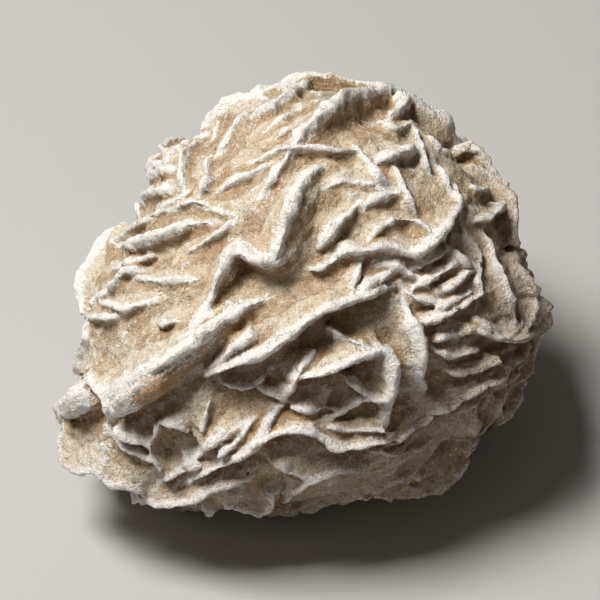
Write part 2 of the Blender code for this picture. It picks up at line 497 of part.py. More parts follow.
LOWER_RIGHT_BLADES = [
    Blade(6.0, 1.1, -1.2, [
        (-3.1, -41.8, 2.2), (-1.3, -40.6, 3.4), (0.5, -39.2, 3.7), (2.5, -38.0, 3.9), (5.0, -37.3, 3.9),
        (7.8, -36.5, 3.6), (10.5, -35.7, 2.8), (13.7, -34.5, 1.2),
    ]),
    Blade(7.5, 0.9, -0.8, [
        (-7.2, -33.4, 0.9), (-4.5, -34.8, 2.8), (-2.0, -36.2, 3.3), (0.3, -37.3, 3.3),
        (2.1, -38.0, 2.2),
    ]),
    Blade(6.0, 1.3, -1.2, [
        (-6.2, -44.1, 2.6), (-2.0, -44.1, 3.2), (2.0, -43.7, 3.2), (5.0, -42.8, 3.0), (8.0, -41.6, 2.4),
        (10.8, -40.9, 1.4), (14.0, -38.8, 0.4),
    ], (-6.0, 4.0)),
    Blade(4.0, 0.9, -0.6, [
        (13.8, -31.7, 0.7), (17.0, -32.4, 2.3), (19.8, -32.6, 2.6), (22.3, -31.7, 2.3),
        (24.7, -30.4, 1.4), (26.2, -28.8, 0.4),
    ]),
    Blade(5.5, 1.0, -0.8, [
        (11.2, -40.4, 1.8), (15.0, -39.8, 2.8), (17.8, -38.7, 2.9), (20.0, -37.6, 2.8),
        (22.7, -37.0, 2.7), (25.0, -36.0, 2.2), (27.2, -34.8, 0.7),
    ]),
    Blade(9.0, 1.7, -1.5, [
        (9.5, -39.6, 0.5), (13.5, -41.2, 1.6), (19.0, -41.0, 2.4), (24.0, -40.5, 3.2),
        (27.7, -40.1, 4.0), (30.5, -38.7, 4.4), (32.7, -36.2, 4.4), (34.2, -33.8, 4.2),
        (34.9, -31.2, 3.6), (35.2, -29.0, 3.6), (35.2, -26.5, 3.6), (35.3, -24.0, 3.4),
        (36.2, -21.5, 2.8), (36.9, -19.5, 1.4),
    ], (5.0, 0.0)),
    Blade(5.0, 1.0, -0.8, [
        (17.8, -30.4, 1.0), (20.3, -29.6, 2.4), (22.3, -28.2, 2.9), (24.2, -26.9, 2.9),
        (25.8, -26.0, 2.6), (26.7, -24.0, 1.4),
    ]),
    # Layer on layer down the right side
    Blade(5.0, 0.9, -0.5, [
        (28.3, -15.2, 0.7), (30.5, -16.0, 2.1), (33.0, -16.3, 2.4), (35.5, -15.8, 2.4),
        (38.0, -14.8, 2.0), (40.7, -13.6, 0.7),
    ]),
    Blade(7.0, 1.2, -1.2, [
        (25.6, -24.2, 1.2), (28.5, -23.9, 3.1), (30.7, -23.3, 3.6), (33.0, -21.8, 3.7),
        (35.3, -20.0, 3.7), (38.0, -18.6, 3.7), (41.0, -16.9, 3.7), (43.5, -14.8, 3.6),
        (45.3, -12.0, 3.0), (46.4, -9.6, 1.6),
    ]),
    Blade(5.0, 1.0, -0.6, [
        (35.8, -27.7, 1.6), (38.0, -26.0, 3.0), (39.6, -24.2, 3.5), (40.6, -22.3, 3.5),
        (42.0, -19.8, 3.1), (43.0, -17.0, 2.6), (43.8, -14.4, 1.2),
    ]),
    Blade(4.5, 1.3, -0.5, [
        (33.0, -31.6, 0.6), (36.0, -29.6, 1.8), (39.2, -26.8, 2.4), (42.4, -23.8, 2.6),
        (44.2, -21.5, 2.6), (45.4, -18.5, 2.6), (46.3, -15.5, 2.6), (47.1, -12.8, 2.4),
        (48.3, -9.7, 1.8), (48.6, -6.0, 0.5),
    ], (6.0, -6.0)),
]

BLADES = (
    UPPER_LEFT_BLADES + LEFT_BLADES + CENTRE_BLADES + UPPER_RIGHT_BLADES + RIGHT_BLADES
    + LOWER_CENTRE_BLADES + LOWER_LEFT_BLADES + LOWER_RIGHT_BLADES
)

# The back grows the same kinds of blade, scattered: longest first, so that smaller ones fill in between.
BACK_SEED = 11
BACK_EDGE = 5.0  # the back's blades reach this far over to the front
BACK_TRIES = 2500
BACK_TURN_DEG = 40  # most turn of a back blade away from the flow
BACK_BOW = 0.25  # most bow of a back blade, as a share of its length
BACK_WAVE = 0.1  # most S bend, likewise
BACK_STATIONS = (-0.5, -0.34, -0.12, 0.12, 0.34, 0.5)  # shares of a back blade's length
BACK_FOOT = (-1.2, 1.2)
EDGE_RISE = 2.0  # most height of a back blade at the outline
EDGE_RISE_SLOPE = 0.3  # and how much more it may have for each millimetre behind it
STACK_GAP = 4.6  # between parallel blades on the back
STACK_SHRINK = 0.8  # height of each parallel blade, as a share of the one before
CREST_CHECK = 2.0  # the back's crests are kept apart at points this far apart

Growth = namedtuple("Growth", "count gap stack length rise rim reach")
# count: how many at most; gap: clear distance to the other crests; stack: most parallel blades beside
# each; the rest are (least, most)
BACK_GROWTHS = (
    Growth(14, 9.0, 2, (28.0, 44.0), (5.0, 7.0), (2.0, 3.2), (9.0, 13.0)),
    Growth(60, 4.6, 1, (15.0, 26.0), (3.2, 4.8), (1.4, 2.2), (5.5, 9.0)),
    Growth(90, 3.0, 0, (8.0, 14.0), (1.8, 3.0), (1.0, 1.6), (3.5, 5.5)),
)


def any_direction(chance):
    return Vector([chance.gauss(0, 1) for _ in range(3)]).normalized()


def back_lumps():
    """Lumps and hollows scattered over the core's back, in the form of CORE_LUMPS."""
    chance = random.Random(BACK_SEED)
    lumps = []
    while len(lumps) < BACK_LUMPS:
        place = any_direction(chance)
        if place.z < BACK_LUMP_EDGE:
            lumps.append((place, chance.uniform(*BACK_LUMP_WIDTHS), chance.uniform(*BACK_LUMP_HEIGHTS)))
    return lumps


LUMPS = [
    (Vector(place).normalized(), math.radians(width), height)
    for place, width, height in (*CORE_LUMPS, *back_lumps())
]


def spline(before, start, end, after, part):
    """Catmull-Rom curve between start and end."""
    square = part * part
    cube = square * part
    return 0.5 * (
        2 * start
        + (end - before) * part
        + (2 * before - 5 * start + 4 * end - after) * square
        + (3 * start - before - 3 * end + after) * cube
    )


def outline_radius(angle):
    """Radius of the core seen square to the face."""
    count = len(CORE_OUTLINE)
    place = (angle % math.tau) / math.tau * count
    step = int(place)
    radii = [CORE_OUTLINE[(step + offset) % count] for offset in (-1, 0, 1, 2)]
    return spline(*radii, place - step)


def core_radius(direction):
    """Distance from the core's centre to its surface, in a direction of length 1."""
    across = math.hypot(direction.x, direction.y) / outline_radius(math.atan2(direction.y, direction.x))
    along = abs(direction.z) / (CORE_FRONT_DEPTH if direction.z > 0 else CORE_BACK_DEPTH)
    radius = (across**CORE_FULLNESS + along**CORE_FULLNESS) ** (-1 / CORE_FULLNESS)
    for place, width, height in LUMPS:
        square_of_angle = 2 * (1 - direction.dot(place))  # for a small angle
        radius += height * math.exp(-square_of_angle / width**2)
    return radius


def rise_over_core(point):
    return point.length - core_radius(point.normalized())


def on_core(point, depth=0.0):
    """The point moved straight in or out to lie this deep under the core's surface."""
    direction = point.normalized()
    return direction * (core_radius(direction) - depth)


def core_normal(point):
    surface = on_core(point)
    slope = [
        rise_over_core(surface + axis * NORMAL_STEP) - rise_over_core(surface - axis * NORMAL_STEP)
        for axis in (Vector((1, 0, 0)), Vector((0, 1, 0)), Vector((0, 0, 1)))
    ]
    return Vector(slope).normalized()


def crest_point(u, v, rise, depth):
    """The front point this high over the core, or the point at this depth if even w = 0 is higher."""
    def at(w):
        narrowing = 1 - w / FACE_FOCUS
        return Vector((u * narrowing, v * narrowing, w))

    low, high = 0.0, 2 * CORE_FRONT_DEPTH
    if rise_over_core(at(low)) > rise:
        return at(depth)
    while high - low > MM:
        middle = (low + high) / 2
        if rise_over_core(at(middle)) > rise:
            high = middle
        else:
            low = middle
    return at(low)


def smooth_curve(points, spacing):
    """The points joined by a smooth curve, with its own points about this far apart."""
    first = points[0] * 2 - points[1]
    last = points[-1] * 2 - points[-2]
    padded = [first, *points, last]
    curve = []
    for index in range(len(points) - 1):
        steps = max(1, round((points[index + 1] - points[index]).length / spacing))
        curve += [spline(*padded[index : index + 4], step / steps) for step in range(steps)]
    return [*curve, points[-1]]


Station = namedtuple("Station", "place travel up left rise swell along")
# place: on the crest; travel, up and left: the crest's axes there; rise: its height over the core;
# swell: the blade's size there, as a share of its full size; along: the way from the crest's start


def stations_of(crest_points):
    """The places along a crest at which a blade has its sections."""
    curve = smooth_curve(crest_points, STATION_SPACING)
    rises = [max(rise_over_core(point), 0.0) for point in curve]
    highest = max(rises)
    along = 0.0
    stations = []
    for index, (point, rise) in enumerate(zip(curve, rises)):
        before = curve[max(index - 1, 0)]
        travel = (curve[min(index + 1, len(curve) - 1)] - before).normalized()
        up = core_normal(point)
        up = (up - travel * up.dot(travel)).normalized()
        along += (point - before).length
        uneven = noise.noise(point / UNEVEN_WAVELENGTH)
        swell = max(END_SWELL, math.sqrt(rise / highest)) * (1 + UNEVEN_SWELL * uneven)
        place = point + up * (UNEVEN_RISE * uneven)
        stations.append(Station(place, travel, up, up.cross(travel), rise, swell, along))
    return stations


def furrow_tree(grown):
    """Places along the furrows in the core beside the taller crests, and the furrow's depth at each."""
    middles = []
    for blade, stations in grown:
        for station in stations:
            if station.rise > FURROW_RISE:
                aside = blade.rim / 2 + max(blade.foot, 0.0) + FURROW_ASIDE
                middle = on_core(station.place - station.left * aside)
                middles.append((middle, station.rise * FURROW_SHARE))
    tree = KDTree(len(middles))
    for index, (middle, _) in enumerate(middles):
        tree.insert(middle, index)
    tree.balance()
    return tree, [depth for _, depth in middles]


def in_ground(point, furrows, depth=0.0):
    """The point moved straight in or out to lie this deep under the furrowed core."""
    tree, depths = furrows
    surface = on_core(point)
    deepest = 0.0
    for _, index, distance in tree.find_range(surface, 2 * FURROW_WIDTH):
        deepest = max(deepest, depths[index] * math.exp(-((distance / FURROW_WIDTH) ** 2)))
    height = (face_to_world() @ surface).z / MM
    share = min(max((height - FURROW_FLOOR[0]) / (FURROW_FLOOR[1] - FURROW_FLOOR[0]), 0.0), 1.0)
    return on_core(point, depth + deepest * share)


def face_share(out):
    """Height of a broad face this far out from its rim, both as shares of the whole."""
    return (1 - out) ** FACE_HOLLOW


def section(station, blade, furrows):
    """One closed section of a blade: foot of the broad face, over the rim, down the flank, root."""
    crest, up, left = station.place, station.up, station.left
    half = blade.rim / 2 * station.swell
    rim_centre = crest - up * half
    rim = []
    for angle in RIM_ANGLES:
        turn = math.radians(angle)
        rim.append(rim_centre + (left * math.sin(turn) + up * math.cos(turn)) * half)
    foot = in_ground(crest + left * (blade.reach * station.swell), furrows, FOOT_DEPTH)
    face = rim[0] - foot
    height = up * face.dot(up)
    run = face - height
    hollow = [foot + run * (1 - out) + height * face_share(out) for out in FACE_PLACES]
    flank = in_ground(crest - left * (half + blade.foot * station.swell), furrows, FOOT_DEPTH)
    root = in_ground(crest, furrows, BLADE_ROOT)
    return [foot, *hollow, *rim, flank, root]


def add_blade(mesh, blade, stations, furrows):
    """Adds one blade's closed loft to the mesh."""
    rings = []
    for station in stations:
        rings.append([mesh.verts.new(place) for place in section(station, blade, furrows)])
    for ring, following in zip(rings, rings[1:]):
        for index in range(len(ring)):
            beside = (index + 1) % len(ring)
            mesh.faces.new((ring[index], ring[beside], following[beside], following[index]))
    for end in (rings[0][::-1], rings[-1]):
        middle = mesh.verts.new(sum((vertex.co for vertex in end), Vector()) / len(end))
        for index in range(len(end)):
            mesh.faces.new((end[index], end[(index + 1) % len(end)], middle))


def crest_points(blade, lifts):
    """Points of a blade's crest, each raised by its lift."""
    start, end = blade.depth
    step = (end - start) / (len(blade.crest) - 1)
    return [
        crest_point(u, v, rise + lift, start + index * step)
        for index, ((u, v, rise), lift) in enumerate(zip(blade.crest, lifts))
    ]


def height_of_face(blade, station, point):
    """Height over the core of the blade's broad face where the point lies beside this station, or 0."""
    offset = point - station.place
    out = offset.dot(station.left) / (blade.reach * station.swell)
    if not 0 < out < 1 or abs(offset.dot(station.travel)) > STATION_SPACING:
        return 0.0
    return station.rise * face_share(out)


def front_crests():
    """(blade, crest points) of every blade of the table: those on a taller blade's face stand on it."""
    low = [(blade, crest_points(blade, [0.0] * len(blade.crest))) for blade in BLADES]
    grown = [(blade, stations_of(points)) for blade, points in low]
    crests = []
    for blade, points in low:
        highest = max(rise for _, _, rise in blade.crest)
        taller = [
            (other, station) for other, stations in grown for station in stations
            if station.rise > TALLER * highest and station.place.z > CARRY_DEPTH
        ]
        lifts = []
        for (_, _, rise), point in zip(blade.crest, points):
            ground = max((height_of_face(*beside, point) for beside in taller), default=0.0)
            lift = max(ground + min(rise, PROUD) - rise, 0.0)
            lifts.append(lift if point.z > CARRY_DEPTH else 0.0)
        crests.append((blade, crest_points(blade, lifts)))
    return crests


def flow(direction):
    """The way the back's blades tend to run: it turns slowly from place to place."""
    swirl = Vector((
        math.sin(2.3 * direction.y + 1.1),
        math.cos(1.9 * direction.z - 0.4),
        math.sin(2.7 * direction.x + 0.7),
    ))
    return (swirl - direction * swirl.dot(direction)).normalized()


def back_crest(chance, centre, length, rise):
    """Places and heights of a bowed crest through this centre, fading out at both ends, and its side."""
    normal = core_normal(centre)
    turn = math.radians(chance.uniform(-BACK_TURN_DEG, BACK_TURN_DEG))
    heading = Matrix.Rotation(turn, 3, normal) @ flow(centre.normalized())
    aside = normal.cross(heading)
    bow = chance.uniform(-BACK_BOW, BACK_BOW) * length
    wave = chance.uniform(-BACK_WAVE, BACK_WAVE) * length
    crest = []
    for share in BACK_STATIONS:
        height = rise * math.sqrt(1 - abs(2 * share) ** 3)
        bend = bow * (1 - (2 * share) ** 2) + wave * math.sin(math.tau * share)
        crest.append((centre + heading * (share * length) + aside * bend, height))
    return crest, aside


def back_point(place, height):
    """The point this high over the core, or lower near the outline, which the front's blades make."""
    surface = on_core(place)
    most = EDGE_RISE - EDGE_RISE_SLOPE * min(surface.z, 0)
    return on_core(place, -min(height, most))


def back_crests(taken):
    """(blade, crest points) of scattered blades, kept clear of the crest points already taken."""
    chance = random.Random(BACK_SEED)
    grown = []
    for growth in BACK_GROWTHS:
        left_to_grow = growth.count
        for _ in range(BACK_TRIES):
            centre = on_core(any_direction(chance))
            length, rise = chance.uniform(*growth.length), chance.uniform(*growth.rise)
            crest, aside = back_crest(chance, centre, length, rise)
            middle = [back_point(place, height) for place, height in crest[1:-1]]
            if any(point.z > BACK_EDGE for point in middle):
                continue
            if any((point - other).length < growth.gap for point in middle for other in taken):
                continue
            for beside in range(1 + chance.randint(0, growth.stack)):
                shrink = STACK_SHRINK**beside
                shift = aside * (beside * STACK_GAP)
                points = [back_point(place + shift, height * shrink) for place, height in crest]
                reach, rim, foot = (chance.uniform(*span) for span in (growth.reach, growth.rim, BACK_FOOT))
                grown.append((Blade(reach, rim, foot, None), points))
                taken += smooth_curve(points, CREST_CHECK)
            left_to_grow -= 1
            if not left_to_grow:
                break
    return grown


def add_core(mesh, furrows):
    """Adds the core to the mesh: a sphere with each point moved out to the furrowed core's surface."""
    ball = bmesh.ops.create_icosphere(mesh, subdivisions=6, radius=1.0)
    for vertex in ball["verts"]:
        vertex.co = in_ground(vertex.co, furrows)


def face_to_world():
    """Turns face coordinates into world coordinates, from millimetres to metres."""
    lean = math.radians(FACE_TILT_DEG)
    right = Vector((1, 0, 0))
    up = Vector((0, math.sin(lean), math.cos(lean)))
    out = Vector((0, -math.cos(lean), math.sin(lean)))
    turn = Matrix((right, up, out)).transposed().to_4x4()
    return Matrix.Translation((0, 0, CORE_HEIGHT * MM)) @ turn @ Matrix.Scale(MM, 4)


def new_object(name, mesh, collection):
    data = bpy.data.meshes.new(name)
    mesh.to_mesh(data)
    mesh.free()
    made = bpy.data.objects.new(name, data)
    collection.objects.link(made)
    return made


def new_collection(name):
    collection = bpy.data.collections.new(name)
    bpy.context.scene.collection.children.link(collection)
    return collection


def apply_modifier(thing, kind, **settings):
    """Replaces the mesh by what one modifier makes of it."""
    modifier = thing.modifiers.new(kind.title(), kind)
    for name, value in settings.items():
        setattr(modifier, name, value)
    made = bpy.data.meshes.new_from_object(thing.evaluated_get(bpy.context.evaluated_depsgraph_get()))
    thing.modifiers.clear()
    spent = thing.data
    thing.data = made
    bpy.data.meshes.remove(spent)


def grown_blades():
    """(blade, stations) of every blade, front and back."""
    crests = front_crests()
    taken = [point for _, points in crests for point in smooth_curve(points, CREST_CHECK)]
    return [(blade, stations_of(points)) for blade, points in crests + back_crests(taken)]


def loose_rose(collection):
    """The core and every blade, overlapping in one mesh and not yet fused."""
    mesh = bmesh.new()
    grown = grown_blades()
    furrows = furrow_tree(grown)
    add_core(mesh, furrows)
    for blade, stations in grown:
        add_blade(mesh, blade, stations, furrows)
    bmesh.ops.recalc_face_normals(mesh, faces=mesh.faces)
    mesh.transform(face_to_world())
    return new_object("sand_rose", mesh, collection)


def fuse(rose):
    """Fuses the blades and the core, wears them and leaves about TRIANGLES triangles."""
    apply_modifier(rose, "REMESH", mode="VOXEL", voxel_size=FUSE_VOXEL * MM)
    apply_modifier(rose, "SMOOTH", iterations=WEAR_ROUNDS)
    triangles = sum(len(face.vertices) - 2 for face in rose.data.polygons)
    apply_modifier(rose, "DECIMATE", ratio=TRIANGLES / triangles, use_collapse_triangulate=True)
    rose.data.polygons.foreach_set("use_smooth", [True] * len(rose.data.polygons))


def wear_flat(rose):
    """Cuts off what lies under the surface that the rose rests on."""
    side = GROUND_SIDE * MM
    mesh = bmesh.new()
    bmesh.ops.create_cube(mesh, size=side)
    bmesh.ops.translate(mesh, verts=mesh.verts, vec=(0, 0, -side / 2))
    ground = new_object("ground_cutter", mesh, new_collection("cutters"))
    ground.hide_render = True
    ground.display_type = "WIRE"
    cut = rose.modifiers.new("Worn underside", "BOOLEAN")
    cut.operation = "DIFFERENCE"
    cut.solver = "EXACT"
    cut.object = ground


def sand_material():
    material = bpy.data.materials.new("sandy_gypsum")
    material.use_nodes = True
    shader = material.node_tree.nodes["Principled BSDF"]
    shader.inputs["Base Color"].default_value = SAND_COLOUR
    shader.inputs["Roughness"].default_value = 0.9
    shader.inputs["Metallic"].default_value = 0.0
    return material


def clear_scene():
    for item in list(bpy.data.objects):
        bpy.data.objects.remove(item, do_unlink=True)


def main():
    clear_scene()
    rose = loose_rose(new_collection("gypsum_sand_rose"))
    fuse(rose)
    wear_flat(rose)
    rose.data.materials.append(sand_material())


main()
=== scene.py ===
"""Looks of the gypsum sand rose: its fine surface, its worn and sandy finish, floor, light and camera.

The rose's CAD solid carries the main shapes. Here the same blades are built again, from the same values,
fused on a finer grid and then wavered, chipped and grained, and the result stands for the solid.

Shapes are worked out in face coordinates, in millimetres from the core's centre: u to the right, v up
along the leaning face of the rose, and w out of the face.
"""

import math
import random
from collections import namedtuple

import bmesh
import bpy
import numpy as np
from mathutils import Matrix, Vector, noise
from mathutils.bvhtree import BVHTree
from mathutils.kdtree import KDTree


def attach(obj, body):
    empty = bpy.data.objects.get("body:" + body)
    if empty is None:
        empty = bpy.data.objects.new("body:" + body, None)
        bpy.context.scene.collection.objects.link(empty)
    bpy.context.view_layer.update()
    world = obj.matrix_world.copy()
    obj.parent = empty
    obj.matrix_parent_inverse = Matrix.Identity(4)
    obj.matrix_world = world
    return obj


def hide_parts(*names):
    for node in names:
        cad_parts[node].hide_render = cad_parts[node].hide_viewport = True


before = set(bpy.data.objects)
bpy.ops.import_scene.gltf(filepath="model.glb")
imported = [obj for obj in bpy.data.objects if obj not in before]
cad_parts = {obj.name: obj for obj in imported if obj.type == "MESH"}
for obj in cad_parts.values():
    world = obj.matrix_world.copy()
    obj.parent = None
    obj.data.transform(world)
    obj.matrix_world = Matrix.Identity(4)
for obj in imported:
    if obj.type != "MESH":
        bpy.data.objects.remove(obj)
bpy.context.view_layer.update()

MM = 0.001

# The core, in millimetres and degrees.
CORE_HEIGHT = 38.0  # from the surface that the rose rests on to the core's centre
CORE_FRONT_DEPTH = 37.0
CORE_BACK_DEPTH = 39.0
CORE_FULLNESS = 2.25  # exponent of the core's section: 2 is an ellipse, more is boxier
CORE_OUTLINE = (  # radius seen square to the face, every 15 degrees, anticlockwise from the right
    45.0, 42.0, 42.0, 41.0, 42.0, 41.5, 40.5, 39.0, 36.5, 38.2, 35.2, 37.0,
    41.5, 44.5, 51.0, 51.0, 47.0, 42.5, 40.5, 39.5, 41.0, 41.0, 43.0, 45.5,
)
CORE_LUMPS = (  # (u, v, w) direction, half width in degrees, height; a negative height is a hollow
    ((-10, -19, 30), 11, -3.5),
    ((-26, -29, 24), 8, -2.0),
    ((8, -21, 30), 9, -2.5),
    ((12, 37, 14), 8, -2.0),
    ((-39, 7, 14), 8, -2.0),
    ((28, -18, 26), 9, -1.5),
)
BACK_LUMPS = 34
BACK_LUMP_WIDTHS = (8.0, 16.0)  # half widths in degrees
BACK_LUMP_HEIGHTS = (-3.0, 3.0)
BACK_LUMP_EDGE = -0.25  # the back's lumps lie behind this share of w in their direction
FACE_TILT_DEG = 45.0
FACE_FOCUS = 700.0  # crest points are laid out at w = 0, along lines that meet this far in front

# The blades' sections.
BLADE_ROOT = 6.0  # how deep a blade is rooted in the core
FOOT_DEPTH = 1.2  # how far a blade's faces run on under the core's surface
STATION_SPACING = 1.4  # between the sections of a blade
RIM_ANGLES = (25, 0, -25, -50, -90)  # places round the rim, from the broad face over to the flank
FACE_PLACES = (0.65, 0.35, 0.12)  # places on the broad face, as shares of its run from the rim
FACE_HOLLOW = 1.2  # how hollow the broad face is: 1 is flat
TALLER = 1.2  # a blade whose crest is this many times as high carries the smaller ones on its face
PROUD = 0.9  # most height of a smaller blade over the face that it stands on
CARRY_DEPTH = 16.0  # nearer to the outline than this w, blades stand on the core alone
END_SWELL = 0.3  # a blade's least size at its ends, as a share of its size at its highest
UNEVEN_WAVELENGTH = 5.5
UNEVEN_SWELL = 0.35  # most change of a blade's size along its crest, as a share
UNEVEN_RISE = 0.4  # most change of its height
NORMAL_STEP = 1.5  # the core's slope is measured over this distance to either side
CORE_SUBDIVISIONS = 6

# Furrows in the core, along the flanks of the taller blades.
FURROW_RISE = 3.2  # crests lower than this have none
FURROW_SHARE = 0.36  # depth of a furrow, as a share of the crest's height
FURROW_ASIDE = 2.2  # from the flank to the furrow's middle
FURROW_WIDTH = 2.8  # at this distance from its middle a furrow has 0.37 of its depth
FURROW_FLOOR = (3.0, 12.0)  # heights over the ground at which furrows start and are full

# The fine surface, in millimetres.
FINE_VOXEL = 0.38  # cell size with which blades and core are fused
FINE_WEAR_ROUNDS = 2  # smoothing passes after that
FILL_ROUNDS = 8  # passes of the smoothing up to which sand fills the corners
FILL_SHARE = 0.6  # of that filling, on the weathered side
FILL_SHELTERED = 0.1
FINE_TRIANGLES = 190000
WAVER = ((7.0, 0.4), (2.8, 0.2))  # wavelength and most sideways shift of rims and faces
WAVER_STARTS = (  # places far apart, one for each of u, v and w
    Vector((0, 0, 0)), Vector((130, 70, 0)), Vector((0, 170, 90)),
)
SAND_RELIEF = ((6.0, 0.55), (2.7, 0.42), (1.3, 0.34))  # wavelength and height of the sandy surface
LAYER_STEPS = (5.0, 1.5)  # wavelengths of the growth layers along and across the crest beside them
LAYER_HEIGHT = 0.55
LAYER_REACH = 5.0  # at this distance from the rim the layers have 0.37 of their height
LEDGE_SIDE = Vector((0.5, -0.8, -0.33))  # way in which the sheltered plates lie over one another
LEDGE_STEP = 4.6  # width of a plate
LEDGE_HEIGHT = 1.15
LEDGE_DROP = 0.12  # share of a plate taken by the drop at its edge
LEDGE_WAVELENGTH = 10.0  # of the wander of their edges
LEDGE_SHIFT = 1.1  # most wander, in plate widths
CHIP_WAVELENGTH = 2.2
CHIP_DEPTH = 0.8  # of the chips in the worn rims
CHIP_START = 0.12  # noise value, from -1 to 1, over which a rim is chipped
RIM_SMOOTH = 0.6  # share of the sandy relief that a rim lacks
CRUMB_WAVELENGTH = 0.9
CRUMB_HEIGHT = 0.09  # of the crumbly surface of the rims
DIG_DEPTH = 0.55  # how far the foot of a flank is worn in
DIG_REACH = 1.5
RELIEF_FLOOR = 2.0  # height over the ground at which the relief is full
SHARP_ROUNDS = 10  # smoothing passes against which a rim's sharpness is measured
GROUND_SIDE = 300.0

# What the finish reads from the shape.
RAY_COUNT = 40  # directions, over the whole sphere, in which a point looks for the open
RAY_REACH = 9.0
RAY_LIFT = 0.35  # a ray starts this far off the surface
LEAST_FACING = 0.15  # rays flatter than this to the surface are left out
NEAR_STATIONS = 8  # places on the crests that a point is tried against
WHITE_FULL = 0.7  # within this share of the rim's radius all is white
WHITE_FACE = (1.5, 1.6)  # most white beyond the rim on the broad face: in radii, and in millimetres
WHITE_FLANK = 0.3  # white beyond the rim on the flank, in millimetres
THICK = (1.9, 2.7)  # rim radii at which a blade begins to count as thick, and fully does
THICK_REACH = 4.0  # at this distance from a thick rim its stain has 0.37 of its strength
FLANK_CUT = (0.0, 0.5)  # height over the rim's middle, in radii, where the flank's white begins and is full: below it the flank, where shade falls, stays sand-coloured, in part painted shade

# Camera, floor and light, in metres except for the lens and its sensor.
CAMERA_DISTANCE = 0.7
CAMERA_LENS = 210.0
CAMERA_SENSOR = 36.0
CAMERA_DROP = 0.001  # the camera looks this far under the core's centre
FLOOR_SIDE = 6.0
FLOOR_GAP = 0.00002  # the floor lies this far under the rose
FLOOR_COLOUR = (0.46, 0.455, 0.447, 1.0)
FLOOR_ROUGHNESS = 0.85
LIGHT_DISTANCE = 0.9
LIGHTS = (  # name, direction from the rose, watts, side in metres, colour
    ("key", (-0.38, -0.05, 0.92), 11.6, 0.32, (1.0, 0.975, 0.94)),
    ("fill", (-0.3, -0.8, 0.6), 0.22, 0.8, (1.0, 0.97, 0.93)),
)
WORLD_COLOUR = (1.0, 0.91, 0.8, 1.0)
WORLD_STRENGTH = 0.082
WEATHER_AND_LIGHT_SIDE = (-0.5, -0.14, 0.85)  # nearly the key light's direction: the side facing it is worn whitest, and the side away from it gets painted shade
WEATHERED_AND_LIT = (14.0, 46.0)  # millimetres that way at which the wear starts and is full, and over which the painted shade of the far side fades out

# The finish. A pattern is a soft noise: its wavelength in millimetres, its detail and roughness, and the
# span of its values over which it comes up. Every span runs from where a thing is absent to where it is
# full. Spans beside a crest are in millimetres to its left, so that less than 0 is on its flank.
Pattern = namedtuple("Pattern", "wavelength detail roughness span", defaults=(0.5, (0.0, 1.0)))
WHOLE = (0.0, 1.0)
GRAIN_SIZE = 0.34
PATCHES = Pattern(14.0, 3.0, 0.5, (0.38, 0.62))  # of pale sand
PALE_SIDE = (-12.0, -34.0)  # to the side: the sand gets paler and less red that way
PALE_MORE = 0.25  # added to the patches there
BLOTCHES = Pattern(3.6, 5.0, 0.62, (0.46, 0.68))  # of red sand
BLOTCH_SHARES = (0.5, 0.2)  # before and past the paler side
DUST_SPOTS = Pattern(2.0, 5.0, 0.7, (0.5, 0.68))
DUST_SHARE = 0.33
HOLLOW = (0.02, -0.13)  # sharpness of a groove
HOLLOW_SHARE = 0.4
# Painted shade on the side away from the key light: its most share.
PAINTED_SHADE_SIDE_SHARE = 0.6
APRON = ((4.5, 1.0), (0.2, 1.0))  # pale sand along the foot of a rim: where it ends and starts
APRON_SPOTS = Pattern(2.6, 4.0, 0.6, (0.3, 0.6))
APRON_SHARE = 0.35
FLANK_SHADE = ((-0.2, -1.1), (-7.0, -3.0))  # painted shade, orange-brown, on the sand under a flank: where it starts and ends
FLANK_SHADE_SHARE = 0.65
DEEP_SHADE = (0.8, 0.3)  # openness of a recess that gets painted shade
SHADE_SPOTS = Pattern(3.0, 4.0, 0.6, (0.3, 0.62))
SHADE_LEAST = 0.35  # between the spots
SHADE_MOST = 0.85
FLECK_STRETCH = (0.45, 1.5, 1.5)  # the crest's millimetres are scaled by this before the noise
FLECKS = Pattern(1.0, 4.0, 0.65, (0.49, 0.6))
FLECK_PLACES = Pattern(6.0, 2.0, 0.5, (0.38, 0.55))
FLECK_FLANK = ((0.2, -0.8), (-5.0, -2.0))
FLECK_SHARE = 0.55
# The thick blade's amber flank is painted shade of that flank, in the amber tone of its gypsum.
AMBER_EDGE = Pattern(2.4, 4.0, 0.6)
AMBER_WANDER = 1.0  # most shift of the amber's edge
AMBER_FLANK = (0.2, -0.8)
AMBER_ALONG = (5.0, 9.0)  # from the crest's start
AMBER_SIDE = (-41.0, -38.0)  # to the side: the blade's blunt end has none
AMBER_MOST = 0.9
# Painted shade in the crevices: openness at which it starts and is full, and its most share.
CREVICE_SHADE_OPEN = (0.36, 0.1)
CREVICE_SHADE_MOST = 0.85
GRAIN_VALUES = (0.84, 1.14)  # brightness of the darkest and the palest common grain
GRAIN_CLUSTERS = Pattern(5.0, 3.0, 0.5, (0.4, 0.7))
GRAIN_RARITY = (0.99, 0.9)  # share of common grains outside the clusters and in them
DARK_SHARE = 0.5
BRIGHT_SHARE = 0.45

